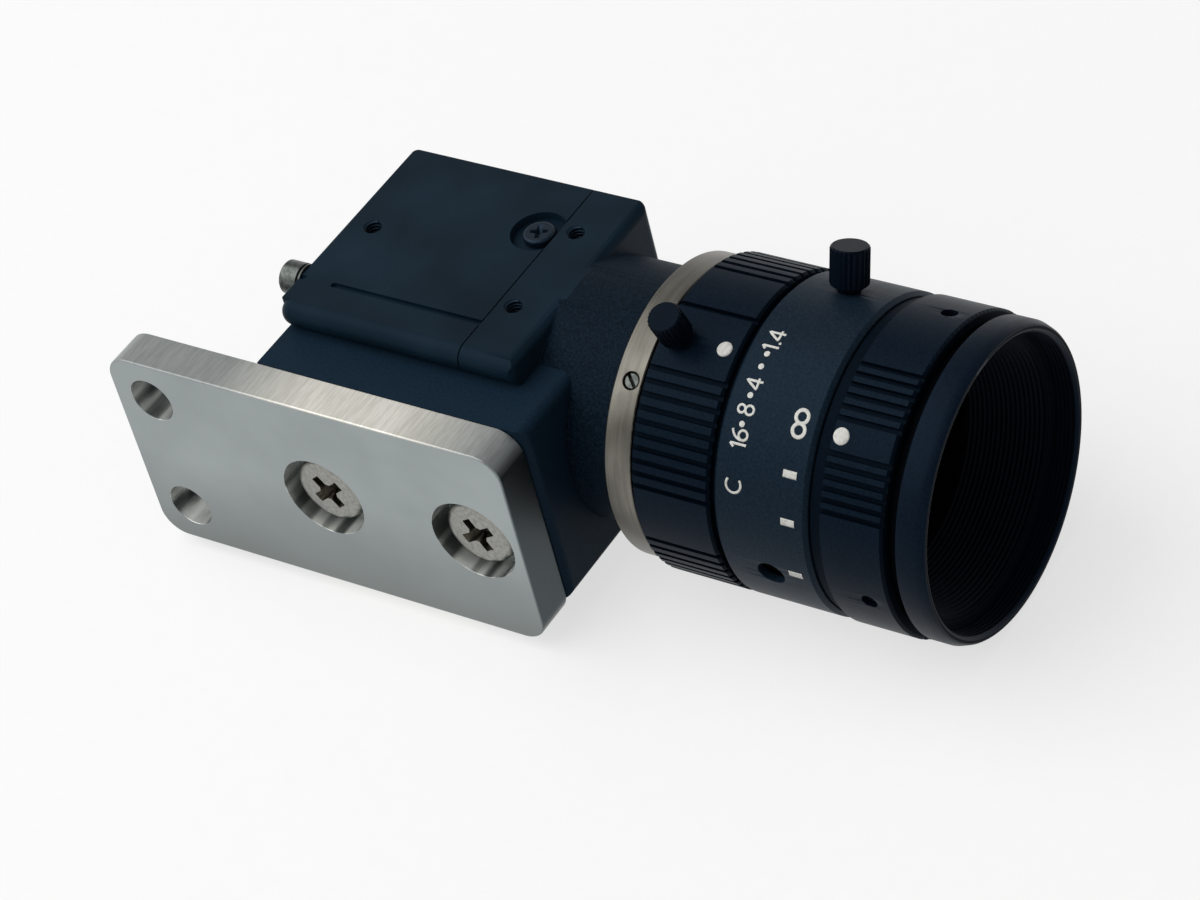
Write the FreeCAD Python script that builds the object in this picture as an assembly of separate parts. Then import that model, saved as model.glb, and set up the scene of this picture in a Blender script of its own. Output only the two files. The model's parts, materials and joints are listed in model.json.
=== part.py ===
import FreeCAD, Part
import os
from math import sin, cos, pi, radians, degrees, sqrt, atan2, hypot

V = FreeCAD.Vector
os.makedirs("parts", exist_ok=True)

# A compact machine vision camera with a C-mount lens, on a side base block and a steel plate.
# All sizes are millimetres and degrees.
# Distances "forward" are measured along the optical axis from the lens seat, towards the lens.
# "side" points from the optical axis to the mounting plate, "up" points to the label face.
# Turns about the optical axis start at "side" and rise towards "up".
# The finished part is moved so that its origin is on the plate's fixing face, midway
# between the two open fixing holes: the lens then looks along -Y and the plate faces -X.

# ---- camera body -------------------------------------------------------------------------
body_half = 14.5            # half the height of the square housing, and its half width at the rails
far_extra = 0.4             # the side turned away from the plate stands this much further out
body_far = body_half + far_extra
body_rear = -43.6           # rear face
seam_forward = -18.4        # where the rear cover meets the front housing
seam_gap = 0.15
slab_front = -11.2          # front face of the square part of the housing
slab_round = 1.2
wall = 1.5
bead_radius = 1.7           # rounded rail along the plate side of the housing
channel_floor = body_half - bead_radius
rear_far_round = 0.8
edge_round = 0.3
rim_length = 4.5
rim_wall = 1.3
collar_radius = 14.75
label_groove_side = 9.2
label_groove_width = 0.75
label_groove_depth = 0.4
label_groove_start = -38.7
face_hole_radius = 1.03     # small M2.5 tapped holes of the housing faces, drawn plain
face_hole_mouth = 1.2
face_hole_depth = 3.0
face_hole_shift = -1.0
face_hole_rear = -40.2
face_hole_front = -16.4
face_hole_spread = 6.6
cover_screw_forward = -20.7
cover_screw_side = -6.4
cover_screw_pocket_radius = 3.35
cover_screw_pocket_depth = 1.0

# ---- camera inside -----------------------------------------------------------------------
cmount_radius = 12.7        # 1 inch thread, 32 to the inch, drawn plain
cmount_depth = 5.0
flange_focal = 17.526
throat_radius = 10.2
filter_radius = 11.4
filter_thick = 1.0
filter_ledge = -9.0
board_half = 11.0
board_thick = 1.2
sensor_half = 6.5
sensor_thick = 1.6
main_board_forward = -31.0
standoff_offset = 8.8
standoff_radius = 1.7

# ---- rear connector ----------------------------------------------------------------------
plug_side = 6.8             # centre of the connector across the rear face
plug_half_width = 2.9
plug_half_height = 10.2
plug_shell = 0.45
plug_out = 1.6              # how far the connector stands out of the rear face
plug_rear = body_rear - plug_out
post_offset = 12.75
post_side = 8.0
post_radius = 2.0
post_foot = 0.25
post_notch = 0.3
post_head = 2.45
post_foot_rear = body_rear - post_foot
post_head_front = post_foot_rear - post_notch
post_rear = post_head_front - post_head
contact_rows = 10

# ---- base block and plate ------------------------------------------------------------------
block_outer = 20.25
block_rear = body_rear + 0.7
block_front = -6.6
block_top = 11.0
block_bottom = -14.3
block_round = 1.3
cradle_inner = 4.0
cradle_gap = 0.03
plate_thick = 5.0
plate_rear = -61.6
plate_front = -7.1
plate_top = 11.0
plate_bottom = -16.5
plate_corner = 3.2
plate_edge = 0.15
fix_hole_forward = -56.3
fix_hole_spacing = 16.6
fix_hole_radius = 2.9
plate_screw_forwards = (-34.3, -13.7)
counterbore_radius = 5.4
plate_screw_hole = 2.3
head_sunk = 1.0
m4_head_radius = 4.3
m4_head_height = 2.5
m4_radius = 2.0
m4_length = 6.0
m25_head_radius = 2.2
m25_head_height = 1.5
m2_head_radius = 1.9
m2_head_height = 1.0
m2_radius = 0.95

# ---- lens: clearances and walls ----------------------------------------------------------------
run_gap = 0.06              # radial clearance of a turning or sliding fit
core_gap = 0.1              # looser fit of the core's rear in the barrel
thread_room = 0.2           # helicoid ring inside the scale ring
face_gap = 0.1              # between the end faces of neighbouring rings
barrel_wall = 2.5
socket_wall = 0.8
mount_wall = 2.45
nose_wall = 0.69
helicoid_wall = 0.69
scale_wall = 0.9
iris_wall = 0.44
iris_grip_height = 1.0
focus_wall = 1.3
core_rear_wall = 0.6
core_front_wall = 0.6
flange_wall = 1.3
mount_screw_forward = 2.1
mount_screw_radius = 1.05

# ---- lens: moving core ---------------------------------------------------------------------
core_rear_radius = 14.0
core_front_radius = 15.5
focus_travel = 2.0          # how far the core moves forward to the near end
neck_radius = core_front_radius + 0.7
neck_bore = core_front_radius + 0.2
flange_radius = neck_radius + 1.7
filter_bore = flange_radius - flange_wall
hood_bore = core_front_radius - core_front_wall
hood_front_radius = neck_bore - 0.5
front_glass_radius = hood_bore - 1.5
hood_rear_radius = front_glass_radius - 0.8
middle_glass_radius = front_glass_radius - 1.9
middle_shelf = middle_glass_radius - 1.2
iris_bay_radius = core_rear_radius - core_rear_wall
rear_cell_radius = 10.8
rear_glass_radius = 9.0
hood_steps = 16
key_turn = 8.0
key_radius = 0.6
key_floor = core_front_radius - 0.8

# ---- lens: fixed parts -----------------------------------------------------------------------
spigot_radius = 12.6
spigot_rear = -4.0
spigot_bore = 11.3
barrel_bore = core_rear_radius + core_gap
nose_bore = core_front_radius + run_gap
iris_seat_radius = barrel_bore + barrel_wall
socket_radius = barrel_bore + socket_wall
mount_radius = socket_radius + mount_wall
nose_radius = nose_bore + nose_wall
helicoid_radius = nose_radius + run_gap + helicoid_wall
scale_seat_radius = helicoid_radius + thread_room
scale_radius = scale_seat_radius + scale_wall
iris_hub_radius = iris_seat_radius + run_gap + iris_wall
grip_radius = iris_hub_radius + iris_grip_height
focus_bore = helicoid_radius - 0.1
focus_hub_radius = helicoid_radius + 0.5
focus_radius = focus_bore + focus_wall
scale_bevel = 0.45
spare_hole_radius = 1.65
lock_turn = 110.0
spare_turn = -10.0

# ---- lens: places along the axis -----------------------------------------------------------
socket_floor = 0.6
mount_front = 3.5
iris_grip_length = 9.8
scale_length = 11.5
focus_hub_length = 1.3
focus_grip_length = 7.7
neck_length = 1.3           # bare neck between focus ring and front flange
flange_length = 3.4
hood_length = 8.0
barrel_rear = socket_floor + face_gap
iris_seat_rear = mount_front
iris_grip_rear = iris_seat_rear + 0.5
iris_grip_front = iris_grip_rear + iris_grip_length
scale_rear = iris_grip_front + 0.6
scale_seat_rear = scale_rear + 0.1
scale_seat_front = scale_seat_rear + 2.5
barrel_step = scale_seat_rear + 0.7
scale_front = scale_rear + scale_length
nose_front = scale_front - 2.4
lock_forward = scale_rear + 5.9
helicoid_rear = scale_seat_front + 0.3
helicoid_step = nose_front + 0.3
focus_hub_rear = scale_front + 2 * face_gap
focus_grip_rear = focus_hub_rear + focus_hub_length
focus_grip_front = focus_grip_rear + focus_grip_length
helicoid_shoulder = focus_grip_rear - 0.4
helicoid_front = focus_grip_front - 1.3
set_screw_forward = focus_grip_front - 2.65
set_screw_radius = 0.95
clip_forward = helicoid_rear + 3.1
clip_width = 0.6
core_rear = 2.0
core_step = barrel_step + 0.3
core_front = helicoid_front + 0.2
flange_rear = focus_grip_front + neck_length
front_end = flange_rear + flange_length
filter_floor = flange_rear + 0.3
hood_front = filter_floor - 0.2
hood_rear = hood_front - hood_length
front_glass_rear = hood_rear - 4.9
middle_glass_rear = front_glass_rear - 6.0
key_forward = core_step + 0.8

# ---- lens: grips and thumbscrews -----------------------------------------------------------
rib_depth = 0.5
rib_width = 0.75
iris_rib_step = 4.7
iris_land_first = 14.7
iris_pad_turn = 69.2
iris_lock_forward = iris_grip_rear + 2.3
focus_pad_turn = 50.2
focus_rib_first = 6.0
focus_rib_step = 4.0
focus_rib_count = 6
thumb_thread = 1.25
iris_thumb_thread = 1.0
knurl_teeth = 24

# ---- iris diaphragm ------------------------------------------------------------------------
blade_count = 5
iris_open_turn = 7.7        # ring turn from the drawn place to the widest mark
iris_closed_turn = -44.8    # ring turn from the drawn place to the closed mark
blade_swing = 33.0          # turn of a blade from wide open to closed
stop_radius = 6.0
blade_span = 125.0
blade_thick = 0.12
blade_pitch = 0.2
blade_arm = 2.6             # from a blade's pivot pin to its drive pin
blade_pin_radius = 0.4
pin_gap = 0.05
stack_gap = 0.1
base_thick = 0.8
drive_thick = 0.9
keeper_thick = 0.9
tongue_turn = -112.0
tongue_slot = 1.3
link_pin_radius = 0.6
slot_margin = 3.6
pivot_circle = iris_bay_radius - 2.1
blade_inner = stop_radius + 0.2
blade_outer = pivot_circle - 0.9
base_front = middle_glass_rear - 3.2
drive_rear = base_front - base_thick - 2 * stack_gap - blade_pitch * blade_count - drive_thick
link_pin_forward = drive_rear - 1.5
tongue_rear = drive_rear - 4.9

blade_ratio = blade_swing / (iris_open_turn - iris_closed_turn)
plate_outer = block_outer + plate_thick
plate_middle = (plate_top + plate_bottom) / 2.0
base_rear = base_front - base_thick


# ---- placing and simple solids -----------------------------------------------------------------
def at(forward, side, up):
    return V(plate_outer - side, fix_hole_forward - forward, up - plate_middle)


FORWARD = V(0, -1, 0)
SIDE = V(-1, 0, 0)
UP = V(0, 0, 1)


def polar(forward, radius, turn):
    return at(forward, radius * cos(radians(turn)), radius * sin(radians(turn)))


def outward(turn):
    return SIDE * cos(radians(turn)) + UP * sin(radians(turn))


def block(f0, f1, s0, s1, u0, u1):
    low = at(f1, s1, u0)
    return Part.makeBox(s1 - s0, f1 - f0, u1 - u0, low)


def rod(f0, f1, radius, side=0.0, up=0.0):
    return Part.makeCylinder(radius, f1 - f0, at(f0, side, up), FORWARD)


def tube(f0, f1, inner, outer):
    return rod(f0, f1, outer).cut(rod(f0 - 1, f1 + 1, inner))


def side_rod(forward, up, s0, s1, radius):
    return Part.makeCylinder(radius, s1 - s0, at(forward, s0, up), SIDE)


def up_rod(forward, side, u0, u1, radius):
    return Part.makeCylinder(radius, u1 - u0, at(forward, side, u0), UP)


def spoke(forward, turn, r0, r1, radius):
    return Part.makeCylinder(radius, r1 - r0, polar(forward, r0, turn), outward(turn))


def turned(profile):
    """Solid of revolution about the optical axis from (forward, radius) corners."""
    points = [at(f, r, 0) for f, r in profile]
    face = Part.Face(Part.makePolygon(points + [points[0]]))
    return face.revolve(at(0, 0, 0), FORWARD, 360)


def spin(shape, turn, centre=None):
    copy = shape.copy()
    copy.rotate(centre or at(0, 0, 0), V(0, 1, 0), turn)
    return copy


def sector(f0, f1, r0, r1, t0, t1):
    """A piece of a tube between two turns."""
    points = []
    wire = []
    a, b = polar(f0, r0, t0), polar(f0, r1, t0)
    c, d = polar(f0, r1, t1), polar(f0, r0, t1)
    mid = (t0 + t1) / 2.0
    wire.append(Part.makeLine(a, b))
    wire.append(Part.Arc(b, polar(f0, r1, mid), c).toShape())
    wire.append(Part.makeLine(c, d))
    wire.append(Part.Arc(d, polar(f0, r0, mid), a).toShape())
    return Part.Face(Part.Wire(wire)).extrude(FORWARD * (f1 - f0))


def slot_cut(f0, f1, r0, r1, turn, width):
    """Tool for a straight slot along the axis, as wide as stated half way between its radii."""
    half = degrees(width / (r0 + r1))
    return sector(f0, f1, r0, r1, turn - half, turn + half)


def hull_fillet(shape, radius, test):
    edges = [e for e in shape.Edges if test(e)]
    return shape.makeFillet(radius, edges)


def hull_chamfer(shape, size, test):
    edges = [e for e in shape.Edges if test(e)]
    return shape.makeChamfer(size, edges)


def local(point):
    """forward, side, up of a point in the finished frame."""
    return fix_hole_forward - point.y, plate_outer - point.x, point.z + plate_middle


def along(edge, direction):
    a, b = edge.Vertexes[0].Point, edge.Vertexes[-1].Point
    d = b - a
    return d.Length > 1e-6 and abs(d.normalize().dot(direction)) > 0.999


def mid_of(edge):
    a, b = edge.Vertexes[0].Point, edge.Vertexes[-1].Point
    return local((a + b) * 0.5)


def near(a, b):
    return abs(a - b) < 0.01


def save(name, shape):
    if isinstance(shape, (list, tuple)):
        shape = Part.makeCompound(list(shape))
    shape.exportStep("parts/" + name + ".step")


# ---- screws -------------------------------------------------------------------------------------
def cross_outline(reach, half, level):
    """The plus-shaped outline of a cross recess at one level."""
    corners = []
    for i in range(4):
        c, s = cos(pi * i / 2), sin(pi * i / 2)
        for x, y in ((reach, -half), (reach, half), (half, half)):
            corners.append(V(x * c - y * s, x * s + y * c, level))
    return Part.makePolygon(corners + [corners[0]])


def cross_recess(span, width, depth):
    """Cross recess standing on z = 0 and going down, its four wings narrowing to the floor."""
    mouth = cross_outline(span / 2, width / 2, 0)
    floor = cross_outline(span * 0.27, width * 0.4, -depth)
    cone = Part.makeCone(width * 0.95, width * 0.5, depth * 1.15)
    cone.rotate(V(0, 0, 0), V(1, 0, 0), 180)
    return Part.makeLoft([mouth, floor], True, True).fuse(cone)


def pan_screw(head_radius, head_height, radius, length, cross):
    """Pan-head screw on +Z: the underside of its head is at z = 0."""
    crown = head_height * 0.35
    profile = [V(0, 0, -length), V(radius * 0.8, 0, -length), V(radius, 0, -length + radius * 0.3),
               V(radius, 0, 0), V(head_radius, 0, 0), V(head_radius, 0, head_height - crown)]
    side = [Part.makeLine(profile[i], profile[i + 1]) for i in range(len(profile) - 1)]
    shoulder = V(head_radius * 0.945, 0, head_height - crown * 0.3)
    flat = V(head_radius * 0.8, 0, head_height)
    top = V(0, 0, head_height)
    side.append(Part.Arc(profile[-1], shoulder, flat).toShape())
    side.append(Part.makeLine(flat, top))
    side.append(Part.makeLine(top, profile[0]))
    screw = Part.Face(Part.Wire(side)).revolve(V(0, 0, 0), V(0, 0, 1), 360)
    recess = cross_recess(cross, cross * 0.26, head_height * 0.62)
    recess.translate(V(0, 0, head_height + 0.001))
    return screw.cut(recess)


def stand(shape, place, direction, turn=0.0):
    """Turns a shape built on +Z so that it points along direction, and puts it at place."""
    copy = shape.copy()
    copy.rotate(V(0, 0, 0), V(0, 0, 1), turn)
    lean = FreeCAD.Placement(place, FreeCAD.Rotation(V(0, 0, 1), direction))
    copy.Placement = lean.multiply(copy.Placement)
    return copy


def set_screw(radius, length, slotted):
    """Headless screw on +Z, its driven end at z = length."""
    body = Part.makeCylinder(radius, length)
    body = body.makeChamfer(radius * 0.22, [e for e in body.Edges if e.Closed])
    if slotted:
        return body.cut(Part.makeBox(radius * 3, radius * 0.42, length * 0.4,
                                     V(-radius * 1.5, -radius * 0.21, length * 0.65)))
    hexagon = Part.makePolygon([V(radius * 0.55 * cos(radians(60 * i)), radius * 0.55 * sin(radians(60 * i)),
                                  length + 0.01) for i in range(7)])
    return body.cut(Part.Face(hexagon).extrude(V(0, 0, -length * 0.55)))


def thumb_screw(thread, neck, head_radius, head_height, length_below):
    """Knurled thumbscrew on +Z: z = 0 is the surface of the ring that it screws into."""
    ring = []
    for i in range(knurl_teeth * 2):
        r = head_radius if i % 2 == 0 else head_radius - 0.17
        turn = pi * i / knurl_teeth
        ring.append(V(r * cos(turn), r * sin(turn), neck))
    knurl = Part.Face(Part.makePolygon(ring + [ring[0]])).extrude(V(0, 0, head_height))
    dome = Part.makeCylinder(head_radius + 0.2, head_height, V(0, 0, neck))
    dome = dome.makeChamfer(0.42, [e for e in dome.Edges if e.Closed])
    head = knurl.common(dome)
    collar = Part.makeCylinder(head_radius * 0.72, neck * 0.45, V(0, 0, neck * 0.55))
    shank = Part.makeCylinder(thread, neck + length_below, V(0, 0, -length_below))
    return head.fuse([collar, shank]).removeSplitter()


# ---- camera body ----------------------------------------------------------------------------------
def housing_section(f0, f1):
    """The square housing with its two rounded rails and the channel between them."""
    h, b, c = body_half, bead_radius, channel_floor
    k = b * sqrt(0.5)
    low = [at(f0, c, -h), at(f0, c + k, -c - k), at(f0, h, -c), at(f0, c + k, -c + k), at(f0, c, -c + b)]
    high = [at(f0, c, c - b), at(f0, c + k, c - k), at(f0, h, c), at(f0, c + k, c + k), at(f0, c, h)]
    far_top, far_low = at(f0, -body_far, h), at(f0, -body_far, -h)
    edges = [Part.Arc(low[0], low[1], low[2]).toShape(), Part.Arc(low[2], low[3], low[4]).toShape(),
             Part.makeLine(low[4], high[0]),
             Part.Arc(high[0], high[1], high[2]).toShape(), Part.Arc(high[2], high[3], high[4]).toShape(),
             Part.makeLine(high[4], far_top), Part.makeLine(far_top, far_low), Part.makeLine(far_low, low[0])]
    return Part.Face(Part.Wire(edges)).extrude(FORWARD * (f1 - f0))


def face_holes(depth):
    """Three tapped holes on the label face and the same three on the plate side."""
    cuts = []
    lead = face_hole_mouth - face_hole_radius
    for f, across in face_hole_places():
        cuts.append(up_rod(f, across, body_half - depth, body_half + 1, face_hole_radius))
        cuts.append(side_rod(f, across, channel_floor - depth, channel_floor + 1, face_hole_radius))
        mouth = at(f, across, body_half - lead)
        cuts.append(Part.makeCone(face_hole_radius, face_hole_mouth, lead, mouth, UP))
    return cuts


def face_hole_places():
    shift = face_hole_shift
    return [(face_hole_rear, shift), (face_hole_front, shift - face_hole_spread),
            (face_hole_front, shift + face_hole_spread)]


def far_edge(edge):
    return along(edge, FORWARD) and near(mid_of(edge)[1], -body_far)


def make_front_housing():
    slab = housing_section(seam_forward, slab_front)
    envelope = block(seam_forward - 1, slab_front, -body_far, body_half, -body_half, body_half)
    envelope = hull_fillet(envelope, edge_round, far_edge)
    envelope = hull_fillet(envelope, slab_round, lambda e: near(mid_of(e)[0], slab_front))
    slab = slab.common(envelope)
    collar = rod(slab_front, 0, collar_radius)
    collar = hull_chamfer(collar, 0.3, lambda e: e.Closed and near(local(e.Vertexes[0].Point)[0], 0))
    root = slab_front - slab_round
    shoulder = rod(root, slab_front, collar_radius).common(housing_section(root, slab_front))
    outer_s1 = channel_floor - wall
    inner = body_half - wall
    rim = block(seam_forward - rim_length, seam_forward, -inner, outer_s1, -inner, inner)
    body = slab.fuse([shoulder, collar, rim]).removeSplitter()
    cavity = block(seam_forward - rim_length - 1, seam_forward + 0.6, -inner + rim_wall,
                   outer_s1 - rim_wall, -inner + rim_wall, inner - rim_wall)
    cuts = [cavity, rod(filter_ledge, 1, filter_radius), rod(-cmount_depth, 1, cmount_radius),
            rod(seam_forward, 1, throat_radius)]
    cuts += face_holes(face_hole_depth)
    for s, u in board_corners():
        cuts.append(rod(seam_forward - 1, seam_forward + 4.0, 0.8, s, u))
    body = body.cut(cuts)
    tapped = up_rod(cover_screw_forward, cover_screw_side, 0, body_half, m2_radius)
    return body.cut(tapped)


def board_corners():
    return [(s * standoff_offset - 0.9, u * standoff_offset) for s in (-1, 1) for u in (-1, 1)]


def make_rear_cover():
    end = seam_forward - seam_gap
    shell = block(body_rear, end, -body_far, channel_floor, -body_half, body_half)
    rear = lambda e: near(mid_of(e)[0], body_rear)
    shell = hull_fillet(shell, rear_far_round,
                        lambda e: along(e, UP) and rear(e) and near(mid_of(e)[1], -body_far))
    shell = hull_fillet(shell, edge_round, lambda e: along(e, SIDE) and rear(e) or far_edge(e))
    rail_rear = body_rear + bead_radius
    for u in (-channel_floor, channel_floor):
        ball = Part.makeSphere(bead_radius, at(rail_rear, channel_floor, u))
        shell = shell.fuse([rod(rail_rear, end, bead_radius, channel_floor, u), ball])
    inner = body_half - wall
    cavity = block(body_rear + wall, end + 1, -inner, channel_floor - wall, -inner, inner)
    bosses = [up_rod(face_hole_rear, face_hole_shift, body_half - wall - 2, body_half - wall, 2.2),
              side_rod(face_hole_rear, face_hole_shift, channel_floor - wall - 1, channel_floor - wall, 2.2)]
    shell = shell.cut(cavity).fuse(bosses).removeSplitter()
    pocket = up_rod(cover_screw_forward, cover_screw_side, body_half - cover_screw_pocket_depth,
                    body_half + 1, cover_screw_pocket_radius)
    hole = up_rod(cover_screw_forward, cover_screw_side, inner - 1, body_half, m2_radius + 0.15)
    g = label_groove_width / 2
    groove = block(label_groove_start, end + 1, label_groove_side - g, label_groove_side + g,
                   body_half - label_groove_depth, body_half + 1)
    groove_end = up_rod(label_groove_start, label_groove_side, body_half - label_groove_depth,
                        body_half + 1, g)
    nick = block(body_rear - 1, body_rear + 0.9, label_groove_side - g, label_groove_side + g,
                 body_half - label_groove_depth, body_half + 1)
    cuts = [pocket, hole, groove, groove_end, nick] + face_holes(face_hole_depth)
    cuts.append(connector_opening(0.05))
    for u in (-post_offset, post_offset):
        cuts.append(rod(body_rear - 1, body_rear + wall + 1, 0.9, post_side, u))
    return shell.cut(cuts)


def connector_opening(gap):
    w, h = plug_half_width + gap, plug_half_height + gap
    hole = block(body_rear - 1, body_rear + wall + 1, plug_side - w, plug_side + w, -h, h)
    return hull_fillet(hole, 1.0 + gap, lambda e: along(e, FORWARD))


def make_cover_screw():
    screw = pan_screw(m2_head_radius, m2_head_height, m2_radius, 3.6, 2.3)
    floor = body_half - cover_screw_pocket_depth
    return stand(screw, at(cover_screw_forward, cover_screw_side, floor), UP, 20)


# ---- rear connector -------------------------------------------------------------------------------
def plug_block(f0, f1, inset, round_radius):
    w, h = plug_half_width - inset, plug_half_height - inset
    shape = block(f0, f1, plug_side - w, plug_side + w, -h, h)
    return hull_fillet(shape, round_radius, lambda e: along(e, FORWARD))


def make_connector_shell():
    outer = plug_block(plug_rear, body_rear + wall + 2.5, 0.0, 1.0)
    inner = plug_block(plug_rear - 1, body_rear + wall + 4, plug_shell, 1.0 - plug_shell)
    lip = 0.5
    flange = block(body_rear + wall, body_rear + wall + 0.6, plug_side - plug_half_width - lip,
                   plug_side + plug_half_width + lip, -plug_half_height - lip, plug_half_height + lip)
    return outer.fuse(flange).cut(inner)


def make_connector_insert():
    seat = plug_block(body_rear + 0.6, body_rear + wall + 2.5, plug_shell, 1.0 - plug_shell)
    tongue = block(plug_rear + 0.4, body_rear + 0.7, plug_side - 0.7, plug_side + 0.7,
                   -plug_half_height + 1.4, plug_half_height - 1.4)
    return seat.fuse(tongue).removeSplitter()


def make_connector_contacts():
    strips = []
    span = 2 * (plug_half_height - 2.2)
    for i in range(contact_rows):
        u = -span / 2 + span * i / (contact_rows - 1)
        for face in (-1, 1):
            s = plug_side + face * 0.8
            strips.append(block(plug_rear + 0.6, body_rear + 0.6, s - 0.1, s + 0.1, u - 0.3, u + 0.3))
    return strips


def make_jack_posts():
    posts = []
    for u in (-post_offset, post_offset):
        head = rod(post_rear, post_head_front, post_radius, post_side, u)
        head = hull_chamfer(head, 0.25, lambda e: e.Closed and near(local(e.Vertexes[0].Point)[0], post_rear))
        neck = rod(post_head_front - 0.05, post_foot_rear + 0.05, post_radius - 0.35, post_side, u)
        foot = rod(post_foot_rear, body_rear, post_radius, post_side, u)
        shank = rod(body_rear - 0.1, body_rear + wall + 0.8, 0.88, post_side, u)
        post = head.fuse([neck, foot, shank]).removeSplitter()
        posts.append(post.cut(rod(post_rear - 1, post_rear + 1.6, 0.8, post_side, u)))
    return posts


# ---- camera inside --------------------------------------------------------------------------------
def make_filter_glass():
    return rod(filter_ledge, filter_ledge + filter_thick, filter_radius)


def make_filter_ring():
    rear = filter_ledge + filter_thick
    return tube(rear, rear + 1.2, filter_radius - 1.4, filter_radius)


def make_image_sensor():
    back = -flange_focal - 0.9
    shape = block(back, back + sensor_thick, -sensor_half, sensor_half, -sensor_half, sensor_half)
    well = block(-flange_focal, back + sensor_thick + 1, -4.6, 4.6, -3.8, 3.8)
    return shape.cut(well)


def make_sensor_window():
    back = -flange_focal - 0.9 + sensor_thick
    return block(back, back + 0.5, -5.2, 5.2, -4.5, 4.5)


def board(f0, half):
    shape = block(f0, f0 + board_thick, -half - 0.9, half - 0.9, -half, half)
    shape = hull_fillet(shape, 1.0, lambda e: along(e, FORWARD))
    return shape.cut([rod(f0 - 1, f0 + board_thick + 1, 0.85, s, u) for s, u in board_corners()])


def sensor_board_front():
    return -flange_focal - 0.9


def make_sensor_board():
    return board(sensor_board_front() - board_thick, board_half - 0.8)


def make_main_board():
    plate = board(main_board_forward, board_half - 0.8)
    chip = block(main_board_forward + board_thick, main_board_forward + board_thick + 1.4, -6, 4, -5, 5)
    riser = block(body_rear + wall + 2.5, main_board_forward, plug_side - 2.0, plug_side + 2.0, -6.5, 6.5)
    return plate.fuse([chip, riser]).removeSplitter()


def make_standoffs():
    """Four hexagonal pillars between the two boards and four short ones in front."""
    pillars = []
    back = main_board_forward + board_thick
    front = sensor_board_front() - board_thick
    for s, u in board_corners():
        corners = [(standoff_radius * cos(radians(60 * i)), standoff_radius * sin(radians(60 * i)))
                   for i in range(7)]
        points = [at(back, s + a, u + b) for a, b in corners]
        pillar = Part.Face(Part.makePolygon(points)).extrude(FORWARD * (front - back))
        stud = rod(back - board_thick, seam_forward + 3.0, 0.79, s, u)
        nut = rod(back - board_thick - 0.8, back - board_thick, 1.5, s, u)
        pillars.append(pillar.fuse([stud, nut]).removeSplitter())
    return pillars


# ---- base block and plate --------------------------------------------------------------------------
def make_base_block():
    body = block(block_rear, block_front, cradle_inner, block_outer, block_bottom, block_top)
    front = lambda e: near(mid_of(e)[0], block_front) and not near(mid_of(e)[1], cradle_inner)
    body = hull_fillet(body, block_round, front)
    room = 0.05
    keep_out = [housing_section(body_rear - 1, slab_front),
                block(body_rear - 1, slab_front, -body_half, channel_floor, -body_half - 1, body_half),
                rod(slab_front - 1, block_front + 1, collar_radius + cradle_gap),
                block(body_rear - 1, slab_front, cradle_inner - 1, body_half + room,
                      -body_half - 1, -channel_floor + bead_radius + room)]
    body = body.cut(keep_out)
    cuts = []
    for f in plate_screw_forwards:
        cuts.append(side_rod(f, plate_middle, block_outer - 5.2, block_outer + 1, m4_radius))
    for f, u in face_hole_places():
        cuts.append(side_rod(f, u, channel_floor - 1, block_outer + 1, face_hole_radius + 0.3))
        cuts.append(side_rod(f, u, block_outer - 2.4, block_outer + 1, m25_head_radius + 0.3))
    body = body.cut(cuts)
    solids = sorted(body.Solids, key=lambda s: s.Volume)
    return solids[-1]


def make_base_screws():
    screws = []
    length = block_outer - 2.4 - channel_floor + face_hole_depth - 0.6
    screw = pan_screw(m25_head_radius, m25_head_height, face_hole_radius, length, 2.6)
    for f, u in face_hole_places():
        screws.append(stand(screw, at(f, block_outer - 2.4, u), SIDE, 45))
    return screws


def make_mounting_plate():
    plate = block(plate_rear, plate_front, block_outer, plate_outer, plate_bottom, plate_top)
    plate = hull_fillet(plate, plate_corner, lambda e: along(e, SIDE))
    rims = lambda e: near(local(e.Vertexes[0].Point)[1], local(e.Vertexes[-1].Point)[1])
    plate = hull_chamfer(plate, plate_edge, rims)
    cuts = []
    for u in (-fix_hole_spacing / 2, fix_hole_spacing / 2):
        cuts.append(side_rod(fix_hole_forward, plate_middle + u, block_outer - 1, plate_outer + 1,
                             fix_hole_radius))
    for f in plate_screw_forwards:
        seat = plate_outer - head_sunk - m4_head_height
        cuts.append(side_rod(f, plate_middle, block_outer - 1, plate_outer + 1, plate_screw_hole))
        cuts.append(side_rod(f, plate_middle, seat, plate_outer + 1, counterbore_radius))
    return plate.cut(cuts)


def make_plate_screws():
    screw = pan_screw(m4_head_radius, m4_head_height, m4_radius, m4_length, 4.6)
    seat = plate_outer - head_sunk - m4_head_height
    turns = (38, 30)
    return [stand(screw, at(f, seat, plate_middle), SIDE, t) for f, t in zip(plate_screw_forwards, turns)]


# ---- lens: fixed parts ---------------------------------------------------------------------------
def mount_turns():
    return [50.7 + 120 * i for i in range(3)]


def make_mount_ring():
    ring = turned([(spigot_rear, spigot_bore), (spigot_rear, spigot_radius - 0.4),
                   (spigot_rear + 0.4, spigot_radius), (0, spigot_radius), (0, mount_radius - 0.25),
                   (0.25, mount_radius), (mount_front - 0.15, mount_radius),
                   (mount_front, mount_radius - 0.15), (mount_front, socket_radius),
                   (socket_floor, socket_radius), (socket_floor, spigot_bore)])
    holes = [spoke(mount_screw_forward, t, socket_radius - 1, mount_radius + 1, mount_screw_radius)
             for t in mount_turns()]
    return ring.cut(holes)


def make_mount_set_screws():
    screw = set_screw(mount_screw_radius - 0.03, 2.35, True)
    return [stand(screw, polar(mount_screw_forward, socket_radius - 0.05, t), outward(t), 42)
            for t in mount_turns()]


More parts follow.
